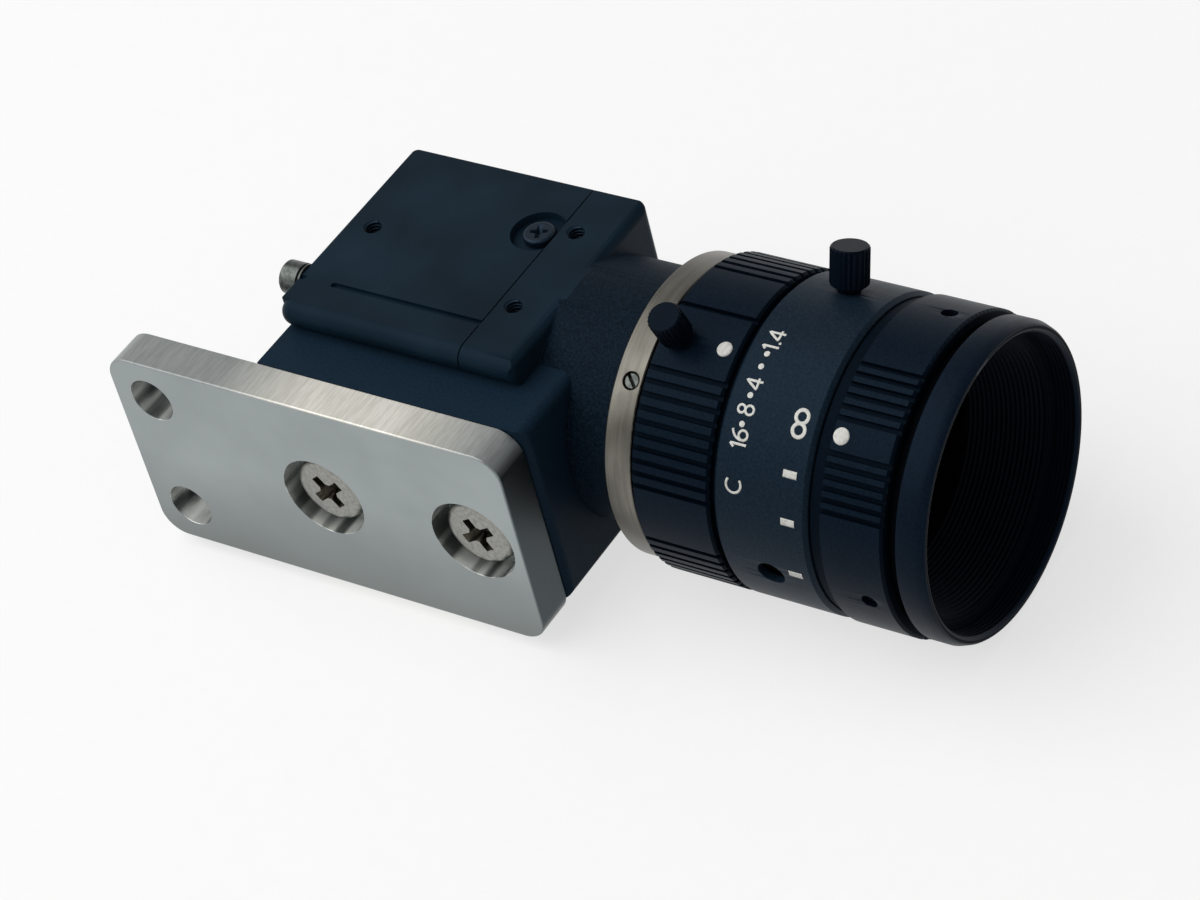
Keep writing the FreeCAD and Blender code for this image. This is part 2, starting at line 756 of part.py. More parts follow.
def iris_slot_turns():
    return tongue_turn + iris_closed_turn - slot_margin, tongue_turn + iris_open_turn + slot_margin


def make_main_barrel():
    barrel = turned([(barrel_rear, barrel_bore), (barrel_rear, socket_radius),
                     (iris_seat_rear, socket_radius), (iris_seat_rear, iris_seat_radius),
                     (scale_seat_rear, iris_seat_radius),
                     (scale_seat_rear, scale_seat_radius), (scale_seat_front, scale_seat_radius),
                     (scale_seat_front, nose_radius), (nose_front, nose_radius), (nose_front, nose_bore),
                     (barrel_step, nose_bore), (barrel_step, barrel_bore)])
    groove = tube(clip_forward - run_gap, clip_forward + clip_width + run_gap, nose_radius - 0.4,
                  nose_radius + 1)
    t0, t1 = iris_slot_turns()
    window = sector(link_pin_forward - 0.8, link_pin_forward + 0.8, barrel_bore - 1,
                    iris_seat_radius + 1, t0, t1)
    dimples = [spoke(mount_screw_forward, t, socket_radius - 0.05, socket_radius + 1, mount_screw_radius)
               for t in mount_turns()]
    key_hole = spoke(key_forward, key_turn, nose_bore - 1, scale_seat_radius + 1, key_radius)
    return barrel.cut([groove, window, key_hole] + dimples)


def make_core_key():
    """Pin fixed in the barrel that keeps the sliding core from turning."""
    return spoke(key_forward, key_turn, key_floor + run_gap, scale_seat_radius - 0.06, key_radius)


def make_scale_ring():
    b = scale_bevel
    ring = turned([(scale_rear, scale_seat_radius), (scale_rear, scale_radius - b),
                   (scale_rear + b, scale_radius),
                   (scale_front - b, scale_radius), (scale_front, scale_radius - b),
                   (scale_front, scale_seat_radius)])
    lock = spoke(lock_forward, lock_turn, scale_seat_radius - 1, scale_radius + 1, thumb_thread + 0.05)
    spare = spoke(lock_forward, spare_turn, scale_seat_radius - 1, scale_radius + 1, spare_hole_radius)
    return ring.cut([lock, spare])


def make_helicoid_clip():
    ring = tube(clip_forward, clip_forward + clip_width, nose_radius - 0.35, nose_radius + 0.35)
    return ring.cut(sector(clip_forward - 1, clip_forward + 2, nose_radius - 1, nose_radius + 1, 200, 212))


# ---- lens: turning rings -------------------------------------------------------------------------
def rib_cut(forward0, forward1, radius, turn):
    """One straight groove of a ribbed grip, its floor a little narrower than its mouth."""
    mid = polar(forward0, radius - rib_depth, turn)
    out = outward(turn)
    across = out.cross(FORWARD)
    wide, slim = rib_width / 2, rib_width * 0.36
    deep = rib_depth + 0.5
    points = [mid - across * slim, mid + across * slim, mid + across * wide + out * deep,
              mid - across * wide + out * deep]
    face = Part.Face(Part.makePolygon(points + [points[0]]))
    return face.extrude(FORWARD * (forward1 - forward0))


def iris_rib_turns():
    turns = [iris_pad_turn + 13.5]
    for side in range(4):
        count = 10 if side == 0 else 15
        turns += [iris_land_first + 90 * side + iris_rib_step * i for i in range(count)]
    return turns


def make_iris_ring():
    bore = iris_seat_radius + run_gap
    c = 0.3
    ring = turned([(iris_seat_rear + face_gap, bore), (iris_seat_rear + face_gap, iris_hub_radius),
                   (iris_grip_rear, iris_hub_radius), (iris_grip_rear, grip_radius - c),
                   (iris_grip_rear + c, grip_radius), (iris_grip_front - c, grip_radius),
                   (iris_grip_front, grip_radius - c), (iris_grip_front, iris_hub_radius),
                   (scale_rear - face_gap, iris_hub_radius), (scale_rear - face_gap, bore)])
    cuts = [rib_cut(iris_grip_rear - 1, iris_grip_front + 1, grip_radius, t) for t in iris_rib_turns()]
    cuts.append(spoke(iris_lock_forward, iris_pad_turn, bore - 1, grip_radius + 1, iris_thumb_thread + 0.05))
    cuts.append(spoke(link_pin_forward, tongue_turn, bore - 1, grip_radius + 1, link_pin_radius))
    cuts.append(spoke(link_pin_forward, tongue_turn, grip_radius - 1.0, grip_radius + 1, 1.1))
    return ring.cut(cuts)


def make_iris_link_pin():
    """Headed pin from the iris ring through both slots into the drive ring's tongue."""
    shank = spoke(link_pin_forward, tongue_turn, iris_bay_radius - 1.3, grip_radius - 0.9, link_pin_radius)
    head = spoke(link_pin_forward, tongue_turn, grip_radius - 1.0, grip_radius - 0.35, 1.1)
    slot = Part.makeBox(3, 0.3, 0.5, V(-1.5, -0.15, -0.3))
    slot = stand(slot, polar(link_pin_forward, grip_radius - 0.35, tongue_turn), outward(tongue_turn), 20)
    return shank.fuse(head).removeSplitter().cut(slot)


def make_iris_lock_screw():
    screw = thumb_screw(iris_thumb_thread, 0.8, 1.95, 3.95, grip_radius - iris_seat_radius - 0.08)
    return stand(screw, polar(iris_lock_forward, grip_radius, iris_pad_turn), outward(iris_pad_turn))


def make_focus_lock_screw():
    screw = thumb_screw(thumb_thread, 0.7, 2.2, 4.5, scale_radius - helicoid_radius - 0.08)
    return stand(screw, polar(lock_forward, scale_radius, lock_turn), outward(lock_turn))


def focus_screw_turns():
    return [focus_pad_turn + 60 + 120 * i for i in range(3)]


def make_helicoid_ring():
    bore = nose_radius + run_gap
    ring = turned([(helicoid_rear, bore), (helicoid_rear, helicoid_radius),
                   (helicoid_shoulder, helicoid_radius), (helicoid_shoulder, focus_bore),
                   (helicoid_front, focus_bore),
                   (helicoid_front, core_front_radius + run_gap),
                   (helicoid_step, core_front_radius + run_gap), (helicoid_step, bore)])
    groove = tube(clip_forward - run_gap, clip_forward + clip_width + run_gap, bore - 1, nose_radius + 0.45)
    cone = [spoke(set_screw_forward, t, focus_bore - 0.4, focus_bore + 1, set_screw_radius - 0.1)
            for t in focus_screw_turns()]
    return ring.cut([groove] + cone)


def make_focus_ring():
    c = 0.3
    ring = turned([(focus_hub_rear, helicoid_radius), (focus_hub_rear, focus_hub_radius),
                   (focus_grip_rear, focus_hub_radius), (focus_grip_rear, focus_radius - c),
                   (focus_grip_rear + c, focus_radius), (focus_grip_front - c, focus_radius),
                   (focus_grip_front, focus_radius - c), (focus_grip_front, focus_bore),
                   (helicoid_shoulder, focus_bore), (helicoid_shoulder, helicoid_radius)])
    cuts = []
    for side in range(3):
        for k in range(focus_rib_count):
            for sign in (-1, 1):
                t = focus_pad_turn + 120 * side + sign * (focus_rib_first + focus_rib_step * k)
                cuts.append(rib_cut(focus_grip_rear - 0.9, focus_grip_front + 1, focus_radius, t))
    cuts += [spoke(set_screw_forward, t, focus_bore - 1, focus_radius + 1, set_screw_radius)
             for t in focus_screw_turns()]
    return ring.cut(cuts)


def make_focus_set_screws():
    screw = set_screw(set_screw_radius - 0.12, 1.1, False)
    return [stand(screw, polar(set_screw_forward, focus_bore - 0.4, t), outward(t))
            for t in focus_screw_turns()]


# ---- lens: moving core ----------------------------------------------------------------------------
def make_lens_core():
    core = turned([(core_rear, iris_bay_radius), (core_rear, core_rear_radius), (core_step, core_rear_radius),
                   (core_step, core_front_radius), (core_front, core_front_radius), (core_front, hood_bore),
                   (hood_rear - 0.1, hood_bore), (hood_rear - 0.1, front_glass_radius),
                   (front_glass_rear, front_glass_radius), (front_glass_rear, middle_glass_radius),
                   (middle_glass_rear, middle_glass_radius), (middle_glass_rear, middle_shelf),
                   (middle_glass_rear - 1.0, middle_shelf), (base_front + 0.8, stop_radius + 1.2),
                   (base_front, stop_radius + 1.2), (base_front, iris_bay_radius)])
    t0, t1 = iris_slot_turns()
    window = sector(link_pin_forward - focus_travel - 0.8, link_pin_forward + 0.8, iris_bay_radius - 1,
                    core_rear_radius + 1, t0, t1)
    wide = key_radius + pin_gap
    keyway = slot_cut(core_step - 1, key_forward, key_floor, core_front_radius + 1, key_turn, 2 * wide)
    keyway_end = spoke(key_forward, key_turn, key_floor, core_front_radius + 1, wide)
    return core.cut([window, keyway, keyway_end])


def make_front_barrel():
    return turned([(core_front, neck_bore), (core_front, neck_radius), (flange_rear, neck_radius),
                   (flange_rear, flange_radius - 0.2), (flange_rear + 0.2, flange_radius),
                   (front_end - 1.1, flange_radius), (front_end - 0.25, flange_radius - 0.3),
                   (front_end, flange_radius - 0.5), (front_end, filter_bore + 0.35),
                   (front_end - 0.35, filter_bore), (filter_floor, filter_bore), (filter_floor, neck_bore)])


def make_hood():
    """Ribbed anti-glare cone behind the front thread; it also clamps the front glass."""
    profile = [(hood_front, neck_bore), (core_front, neck_bore), (core_front, hood_bore),
               (hood_rear, hood_bore), (hood_rear, hood_rear_radius)]
    length = hood_front - hood_rear
    drop = hood_front_radius - hood_rear_radius
    for i in range(hood_steps):
        f = hood_rear + length * i / hood_steps
        r = hood_rear_radius + drop * i / hood_steps
        step = length / hood_steps
        profile.append((f + step * 0.45, r + 0.32))
        if i < hood_steps - 1:
            profile.append((f + step, r + drop / hood_steps))
    profile.append((hood_front, hood_front_radius))
    return turned(profile)


def glass(f0, f1, radius, clear, bulge_rear, bulge_front):
    """Round glass, flat at its edge; each polished face is a sphere inside the clear radius.

    A bulge is how far the middle of a face stands out, and less than zero for a hollow face.
    """
    shape = rod(f0, f1, radius)
    for face, way, bulge in ((f0, -1, bulge_rear), (f1, 1, bulge_front)):
        rise = abs(bulge)
        big = (clear * clear + rise * rise) / (2 * rise)
        centre = face + way * (bulge - big if bulge > 0 else big - rise)
        ball = Part.makeSphere(big, at(centre, 0, 0), FORWARD)
        if bulge > 0:
            zone = rod(min(face, face + way * (rise + 1)), max(face, face + way * (rise + 1)), radius)
            shape = shape.fuse(ball.common(zone))
        else:
            shape = shape.cut(ball)
    return shape


def make_front_glass():
    return glass(front_glass_rear, hood_rear, front_glass_radius, hood_rear_radius - 0.3, -0.9, 2.2)


def make_middle_glass():
    return glass(middle_glass_rear, front_glass_rear, middle_glass_radius, middle_shelf - 0.4, -1.6, -1.1)


def make_rear_cell():
    return turned([(-3.4, rear_glass_radius - 1.0), (-3.4, rear_cell_radius), (core_rear, rear_cell_radius),
                   (core_rear, iris_bay_radius), (5.8, iris_bay_radius), (5.8, rear_glass_radius),
                   (-2.6, rear_glass_radius), (-2.6, rear_glass_radius - 1.0)])


def make_rear_glass():
    return glass(-2.6, 3.4, rear_glass_radius, rear_glass_radius - 1.3, 0.6, 1.3)


def make_rear_glass_ring():
    return tube(3.4, 5.0, rear_glass_radius - 1.1, rear_glass_radius)


# ---- iris diaphragm --------------------------------------------------------------------------------
def blade_turns():
    return [360.0 * i / blade_count for i in range(blade_count)]


def blade_level(i):
    """Front face of blade i; every blade runs in its own layer."""
    return base_rear - stack_gap - blade_pitch * i


def drive_pin_place(close):
    """Side and up of the drive pin of the first blade, when it has closed by this turn."""
    a = radians(90 - blade_swing / 2 + close)
    return pivot_circle + blade_arm * cos(a), blade_arm * sin(a)


def disc(f, s, u, radius, thick):
    return Part.makeCylinder(radius, thick, at(f, s, u), FORWARD)


def make_blade(i):
    """A crescent leaf with a pivot pin in front and a drive pin behind, drawn at rest."""
    front = blade_level(i)
    rear = front - blade_thick
    leaf = sector(rear, front, blade_inner, blade_outer, 0, blade_span)
    tip_mid = (blade_inner + blade_outer) / 2
    half = (blade_outer - blade_inner) / 2
    t = radians(blade_span)
    tip = disc(rear, tip_mid * cos(t), tip_mid * sin(t), half, blade_thick)
    root = sector(rear, front, blade_inner, pivot_circle, 0, 14)
    s, u = drive_pin_place(0)
    ears = [disc(rear, pivot_circle, 0, 0.95, blade_thick), disc(rear, s, u, 0.85, blade_thick)]
    d = V(s - pivot_circle, u, 0)
    d.normalize()
    w = 0.8
    corners = [(pivot_circle - d.y * w, d.x * w), (s - d.y * w, u + d.x * w), (s + d.y * w, u - d.x * w),
               (pivot_circle + d.y * w, -d.x * w)]
    points = [at(rear, p, q) for p, q in corners]
    strap = Part.Face(Part.makePolygon(points + [points[0]])).extrude(FORWARD * blade_thick)
    pivot = rod(rear, base_front - 0.15, blade_pin_radius, pivot_circle, 0)
    drive = rod(drive_rear + 0.15, front, blade_pin_radius, s, u)
    blade = leaf.fuse([tip, root, strap] + ears + [pivot, drive]).removeSplitter()
    blade = spin(blade, blade_ratio * iris_open_turn, at(0, pivot_circle, 0))
    return spin(blade, blade_turns()[i])


def make_iris_base():
    base = turned([(base_rear, stop_radius + 0.5), (base_rear, iris_bay_radius),
                   (base_front, iris_bay_radius), (base_front, stop_radius), (base_front - 0.3, stop_radius)])
    holes = [spin(rod(base_rear - 1, base_front + 1, blade_pin_radius + pin_gap, pivot_circle, 0), t)
             for t in blade_turns()]
    return base.cut(holes)


def cam_slot(start):
    """One drive slot: the path of a blade's drive pin as the drive ring sees it, at rest place.

    When the ring turns by some angle, the blade turns by the same angle times blade_ratio,
    so the slot follows the pin's place turned back by the ring's own turn.
    """
    half = blade_pin_radius + pin_gap
    steps = 14
    left, right, centre = [], [], []
    over = 1.2
    for i in range(steps + 1):
        turn = iris_open_turn + over + (iris_closed_turn - iris_open_turn - 2 * over) * i / steps
        s, u = drive_pin_place((iris_open_turn - turn) * blade_ratio)
        radius, angle = hypot(s, u), degrees(atan2(u, s)) - turn + start
        centre.append((radius * cos(radians(angle)), radius * sin(radians(angle))))
    normals = []
    for i in range(steps + 1):
        a, b = centre[max(i - 1, 0)], centre[min(i + 1, steps)]
        dx, dy = b[0] - a[0], b[1] - a[1]
        size = hypot(dx, dy)
        normals.append((-dy / size, dx / size))
    for (x, y), (nx, ny) in zip(centre, normals):
        left.append(at(drive_rear - 1, x + nx * half, y + ny * half))
        right.append(at(drive_rear - 1, x - nx * half, y - ny * half))
    one, two = Part.BSplineCurve(), Part.BSplineCurve()
    one.interpolate(left)
    two.interpolate(right)
    ends = []
    for k, sign in ((0, 1), (-1, -1)):
        nx, ny = normals[k]
        x, y = centre[k]
        tip = at(drive_rear - 1, x + ny * half * -sign, y - nx * half * -sign)
        ends.append(Part.Arc(left[k], tip, right[k]).toShape())
    wire = Part.Wire(Part.__sortEdges__([one.toShape(), two.toShape()] + ends))
    return Part.Face(wire).extrude(FORWARD * (drive_thick + 2))


def make_drive_ring():
    """Turns in the core; its curved slots swing the blades and its tongue takes the link pin."""
    outer = iris_bay_radius - pin_gap
    ring = tube(drive_rear, drive_rear + drive_thick, stop_radius + 1.0, outer)
    slots = [cam_slot(t) for t in blade_turns()]
    ring = ring.cut(slots)
    tongue = sector(tongue_rear, drive_rear + 0.3, iris_bay_radius - 1.3, iris_bay_radius - 0.25,
                    tongue_turn - 8, tongue_turn + 8)
    fork = slot_cut(tongue_rear - 1, drive_rear - 0.3, iris_bay_radius - 2.3, iris_bay_radius + 0.7,
                    tongue_turn, tongue_slot)
    return ring.fuse(tongue.cut(fork)).removeSplitter()


def make_iris_keeper():
    """Holds the drive ring in place from behind, with a gap for the tongue's travel."""
    front = drive_rear - run_gap
    ring = tube(front - keeper_thick, front, 9.2, iris_bay_radius)
    t0, t1 = iris_slot_turns()
    return ring.cut(sector(front - keeper_thick - 1, front + 1, iris_bay_radius - 1.6, iris_bay_radius + 1,
                           t0 - 8, t1 + 8))


# ---- everything ------------------------------------------------------------------------------------
def build():
    makers = {
        "front_housing": make_front_housing, "rear_cover": make_rear_cover, "cover_screw": make_cover_screw,
        "connector_shell": make_connector_shell, "connector_insert": make_connector_insert,
        "connector_contacts": make_connector_contacts, "jack_posts": make_jack_posts,
        "filter_glass": make_filter_glass, "filter_ring": make_filter_ring,
        "image_sensor": make_image_sensor, "sensor_window": make_sensor_window,
        "sensor_board": make_sensor_board, "main_board": make_main_board, "standoffs": make_standoffs,
        "base_block": make_base_block, "base_screws": make_base_screws,
        "mounting_plate": make_mounting_plate, "plate_screws": make_plate_screws,
        "mount_ring": make_mount_ring, "mount_set_screws": make_mount_set_screws,
        "main_barrel": make_main_barrel, "core_key": make_core_key, "scale_ring": make_scale_ring,
        "helicoid_clip": make_helicoid_clip, "iris_ring": make_iris_ring,
        "iris_link_pin": make_iris_link_pin, "iris_lock_screw": make_iris_lock_screw,
        "helicoid_ring": make_helicoid_ring, "focus_ring": make_focus_ring,
        "focus_set_screws": make_focus_set_screws, "focus_lock_screw": make_focus_lock_screw,
        "lens_core": make_lens_core, "front_barrel": make_front_barrel, "hood_ring": make_hood,
        "front_glass": make_front_glass, "middle_glass": make_middle_glass,
        "rear_cell": make_rear_cell, "rear_glass": make_rear_glass, "rear_glass_ring": make_rear_glass_ring,
        "iris_base": make_iris_base, "drive_ring": make_drive_ring, "iris_keeper": make_iris_keeper,
    }
    for name, maker in makers.items():
        save(name, maker())
    for i in range(blade_count):
        save("iris_blade_" + str(i + 1), make_blade(i))


build()
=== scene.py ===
import json
from math import cos, hypot, pi, radians, sin

import bmesh
import bpy
from mathutils import Matrix, Vector


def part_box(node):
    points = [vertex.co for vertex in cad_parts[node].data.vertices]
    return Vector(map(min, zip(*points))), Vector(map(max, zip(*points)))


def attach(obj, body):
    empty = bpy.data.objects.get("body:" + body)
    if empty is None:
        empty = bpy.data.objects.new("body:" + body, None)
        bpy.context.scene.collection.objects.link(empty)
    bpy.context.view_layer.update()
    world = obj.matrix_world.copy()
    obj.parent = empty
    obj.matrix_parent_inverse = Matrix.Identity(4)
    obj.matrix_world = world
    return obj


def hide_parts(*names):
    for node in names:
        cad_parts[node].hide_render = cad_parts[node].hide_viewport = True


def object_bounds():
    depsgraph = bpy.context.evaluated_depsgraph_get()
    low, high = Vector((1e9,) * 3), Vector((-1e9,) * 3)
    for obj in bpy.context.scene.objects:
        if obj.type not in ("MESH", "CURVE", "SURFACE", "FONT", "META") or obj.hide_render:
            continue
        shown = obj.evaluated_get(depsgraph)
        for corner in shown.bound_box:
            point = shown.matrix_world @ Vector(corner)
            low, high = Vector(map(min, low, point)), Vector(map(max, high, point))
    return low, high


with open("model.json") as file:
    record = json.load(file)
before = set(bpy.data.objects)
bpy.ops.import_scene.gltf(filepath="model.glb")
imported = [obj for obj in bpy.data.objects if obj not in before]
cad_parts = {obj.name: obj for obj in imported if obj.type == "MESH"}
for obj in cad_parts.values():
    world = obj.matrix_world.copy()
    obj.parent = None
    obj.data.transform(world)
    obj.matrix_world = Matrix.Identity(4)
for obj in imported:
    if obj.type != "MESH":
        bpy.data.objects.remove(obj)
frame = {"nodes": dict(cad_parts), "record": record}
cad_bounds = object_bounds()

MM = 0.001

# ---- places taken from the frame ----------------------------------------------------------------


def middle(node):
    low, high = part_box(node)
    return (low + high) / 2


def radius_of(node):
    low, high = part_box(node)
    return (high.x - low.x) / 2


AXIS = middle("scale_ring")                   # the optical axis runs along Y through this point
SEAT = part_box("main_barrel")[1].y + 0.7 * MM  # lens seat; distances forward, toward -Y, start here
LABEL_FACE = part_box("front_housing")[1].z
PLATE_LOW, PLATE_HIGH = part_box("mounting_plate")
COLLAR_START = 11.05                          # the textured collar starts this far behind the seat
MOUNTS = {entry["name"]: entry for entry in frame["record"]["mounts"]}


# ---- nodes --------------------------------------------------------------------------------------


def srgb(code):
    """A hex colour as the linear values that the shaders take."""
    parts = [int(code[i:i + 2], 16) / 255 for i in (1, 3, 5)]
    return [c / 12.92 if c <= 0.04045 else ((c + 0.055) / 1.055) ** 2.4 for c in parts] + [1.0]


def feed(tree, source, target):
    """Sets an input to a value, or links it to a socket, or to the first live output of a node."""
    if isinstance(source, bpy.types.Node):
        source = next(socket for socket in source.outputs if socket.enabled)
    if isinstance(source, bpy.types.NodeSocket):
        tree.links.new(source, target)
    else:
        target.default_value = source


def add(tree, kind, inputs=(), **settings):
    """One node with its settings; an input is a value, or the node or socket that feeds it."""
    node = tree.nodes.new(kind)
    for name, value in settings.items():
        setattr(node, name, value)
    for name, source in dict(inputs).items():
        feed(tree, source, node.inputs[name])
    return node


# ---- materials ----------------------------------------------------------------------------------


def new_material(name, **surface):
    """A material with one Principled surface; returns it, its tree, its shader and its coordinates."""
    made = bpy.data.materials.new(name)
    made.use_nodes = True
    tree = made.node_tree
    tree.nodes.clear()
    shader = add(tree, "ShaderNodeBsdfPrincipled", surface)
    add(tree, "ShaderNodeOutputMaterial", {"Surface": shader})
    place = add(tree, "ShaderNodeTexCoord").outputs["Object"]
    return made, tree, shader, place


def mottle(tree, place, size, detail=3.0, roughness=0.5):
    """Cloudy pattern whose grain is about the given size in millimetres."""
    return add(tree, "ShaderNodeTexNoise", {"Vector": place, "Scale": 1 / (size * MM), "Detail": detail,
                                            "Roughness": roughness})


def streaks(tree, place, size, turn, stretch, detail=4.0):
    """Mottle drawn out into lines: a turn in degrees for each axis, then a stretch for each axis."""
    laid = add(tree, "ShaderNodeMapping", {"Vector": place, "Rotation": tuple(radians(a) for a in turn),
                                           "Scale": stretch})
    return mottle(tree, laid, size, detail, 0.65)


def two_tones(tree, pattern, dark, light, low=0.35, high=0.65):
    """A dark tone below one level of the pattern, a light one above another, mixed between."""
    ramp = add(tree, "ShaderNodeValToRGB", {"Fac": pattern})
    for element, tone, level in zip(ramp.color_ramp.elements, (dark, light), (low, high)):
        element.color = srgb(tone)
        element.position = level
    return ramp


def finish(tree, shader, colour, pattern, smooth, rough, relief=0.0):
    """A surface's colour, its roughness, which follows the pattern, and its relief in millimetres."""
    feed(tree, colour, shader.inputs["Base Color"])
    sheen = add(tree, "ShaderNodeMapRange", {"Value": pattern, "To Min": smooth, "To Max": rough})
    feed(tree, sheen, shader.inputs["Roughness"])
    if relief:
        bump = add(tree, "ShaderNodeBump", {"Height": pattern, "Distance": relief * MM})
        feed(tree, bump, shader.inputs["Normal"])


def dark_coat(name, shine, ior=1.5):
    """The base of every black finish here: a blue-black coat with a weak, bluish shine."""
    return new_material(name, **{"IOR": ior, "Specular IOR Level": shine, "Specular Tint": srgb("#9cbfe2")})


def painted_aluminium():
    """Die-cast aluminium under satin powder paint: blue-black, smooth, with a faint orange peel."""
    made, tree, shader, place = dark_coat("satin_black_powder_paint", 0.12)
    peel = mottle(tree, place, 0.25)
    cloud = mottle(tree, place, 12, 2.0)
    finish(tree, shader, two_tones(tree, cloud, "#0b1a25", "#172a37", 0.3, 0.75), peel, 0.40, 0.54, 0.012)
    return made


def sprayed_texture():
    """The collar's coarser sprayed paint: matt, with specks that catch the light."""
    made, tree, shader, place = dark_coat("sprayed_texture_paint", 0.1)
    grain = mottle(tree, place, 0.28, 4.0, 0.6)
    finish(tree, shader, two_tones(tree, grain, "#030b14", "#14222e"), grain, 0.50, 0.68, 0.035)
    return made


def blackened(name, dark, light, smooth, rough, shine=0.08):
    """Turned metal with a blue-black finish: satin, faintly grained, with lines left by the lathe."""
    made, tree, shader, place = dark_coat(name, shine, 1.6)
    lines = streaks(tree, place, 0.25, (0, 0, 0), (0.05, 1.0, 0.05))
    grain = mottle(tree, place, 0.3, 4.0, 0.7)
    finish(tree, shader, two_tones(tree, grain, dark, light), lines, smooth, rough, 0.004)
    return made


def at_rim(tree, value, low, high, facing):
    """How far a surface faces straight out, where it lies near either end of a range, else nought."""
    rim = 2.4 * MM
    inside = add(tree, "ShaderNodeMath", {0: value, 1: (low + high) / 2, 2: (high - low) / 2 - rim},
                 operation="COMPARE")
    return add(tree, "ShaderNodeMix", {0: inside, 2: facing, 3: 0.0})


def milled_nickel():
    """Nickel plated steel plate with arcs left by the cutter: a painted highlight along the long edges,
    brightest a little toward the front of halfway, a face with painted shade toward its lower edge, and
    painted shade on the sawn ends."""
    made, tree, shader, place = new_material("nickel_plated_milled_steel")
    at = add(tree, "ShaderNodeSeparateXYZ", {0: place}).outputs
    normal = add(tree, "ShaderNodeNewGeometry").outputs["Normal"]
    facing = add(tree, "ShaderNodeSeparateXYZ",
                 {0: add(tree, "ShaderNodeVectorMath", {0: normal}, operation="ABSOLUTE")}).outputs
    on_edge = at_rim(tree, at["Z"], PLATE_LOW.z, PLATE_HIGH.z, facing["Z"])
    # painted shade: the sawn ends facing along Y take a darker colour
    shaded_end = at_rim(tree, at["Y"], PLATE_LOW.y, PLATE_HIGH.y, facing["Y"])
    # painted shade: the face darkens toward its lower edge
    low_shade = add(tree, "ShaderNodeMapRange", {"Value": at["Z"], "From Min": (PLATE_LOW.z + PLATE_HIGH.z) / 2,
                                            "From Max": PLATE_LOW.z, "To Max": 0.85})
    # painted highlight: the long edges brighten toward a point a little toward the front of halfway, over
    # the cutter's streaks
    brightest = 0.38 * PLATE_HIGH.y + 0.62 * PLATE_LOW.y
    past = add(tree, "ShaderNodeMath", {0: at["Y"], 1: brightest}, operation="SUBTRACT")
    away = add(tree, "ShaderNodeMath", {0: past}, operation="ABSOLUTE")
    edge_highlight = add(tree, "ShaderNodeMapRange", {"Value": away, "From Min": 18.4 * MM, "From Max": 5.7 * MM})
    face = streaks(tree, place, 0.35, (38, 0, 0), (1.0, 0.08, 1.0))
    edge = streaks(tree, place, 0.3, (0, 0, 24), (0.1, 1.0, 0.6), 2.0)
    marks = add(tree, "ShaderNodeMix", {0: on_edge, 2: face, 3: edge})
    face_tone = two_tones(tree, mottle(tree, place, 14), "#949b9b", "#a1a8a8", 0.3, 0.7)
    low_shaded_face = add(tree, "ShaderNodeMix", {0: low_shade, 6: face_tone, 7: srgb("#777c7b")}, data_type="RGBA")
    faces = add(tree, "ShaderNodeMix", {0: shaded_end, 6: low_shaded_face, 7: srgb("#474e51")}, data_type="RGBA")
    plain = two_tones(tree, edge, "#8f9392", "#9da1a0")
    bright = two_tones(tree, edge, "#dfdcd0", "#f3f0e7")
    edges = add(tree, "ShaderNodeMix", {0: edge_highlight, 6: plain, 7: bright}, data_type="RGBA")
    colour = add(tree, "ShaderNodeMix", {0: on_edge, 6: faces, 7: edges}, data_type="RGBA")
    finish(tree, shader, colour, marks, 0.30, 0.44, 0.010)
    frosted = add(tree, "ShaderNodeMapRange", {"Value": on_edge, "To Min": 1.0, "To Max": 0.4})
    feed(tree, frosted, shader.inputs["Metallic"])
    return made


def drilled_nickel():
    """Walls cut by drill and counterbore, with painted reflections: bright and dark stripes that run in from
    the face.
    """
    made, tree, shader, place = new_material("drilled_nickel_wall_painted_reflections", **{"Metallic": 0.6})
    reflection_bands = streaks(tree, place, 2.6, (0, 0, 0), (0.03, 1.0, 1.0), 1.0)
    finish(tree, shader, two_tones(tree, reflection_bands, "#666b69", "#f4f6f2", 0.4, 0.58), reflection_bands, 0.2, 0.35, 0.01)
    return made


def turned_nickel():
    """Turned and nickel plated brass of the lens mount: warm grey, rubbed in places, with lathe rings."""
    made, tree, shader, place = new_material("turned_nickel_plate", **{"Metallic": 1.0})
    lines = streaks(tree, place, 0.3, (0, 0, 0), (0.05, 1.0, 0.05))
    rubbed = add(tree, "ShaderNodeMapRange", {"Value": mottle(tree, place, 9, 2.0), "From Min": 0.32,
                                              "From Max": 0.68})
    dull = two_tones(tree, lines, "#55534e", "#636059")
    bright = two_tones(tree, lines, "#75736d", "#87847c")
    colour = add(tree, "ShaderNodeMix", {0: rubbed, 6: dull, 7: bright}, data_type="RGBA")
    finish(tree, shader, colour, lines, 0.30, 0.42, 0.006)
    return made


def small_metal(name, dark, light, smooth, rough, metal=1.0):
    """Small cold-formed or turned metal parts, plated or blackened, lightly mottled."""
    made, tree, shader, place = new_material(name, **{"Metallic": metal})
    patches = mottle(tree, place, 0.5, 4.0)
    finish(tree, shader, two_tones(tree, patches, dark, light), patches, smooth, rough, 0.008)
    return made


def marking_enamel():
    """White enamel wiped into the engraved marks: slightly uneven and a little warm."""
    made, tree, shader, place = new_material("white_engraving_enamel", **{"IOR": 1.5})
    fill = mottle(tree, place, 0.4, 2.0)
    finish(tree, shader, two_tones(tree, fill, "#d3d2cc", "#ebeae4"), fill, 0.35, 0.55)
    return made


def matt_lacquer():
    """Dead-matt lacquer inside the lens, which takes stray light."""
    made, tree, shader, place = new_material("matt_black_lacquer", **{"IOR": 1.4, "Specular IOR Level": 0.1})
    grain = mottle(tree, place, 0.3)
    finish(tree, shader, two_tones(tree, grain, "#010309", "#040914"), grain, 0.6, 0.75)
    return made


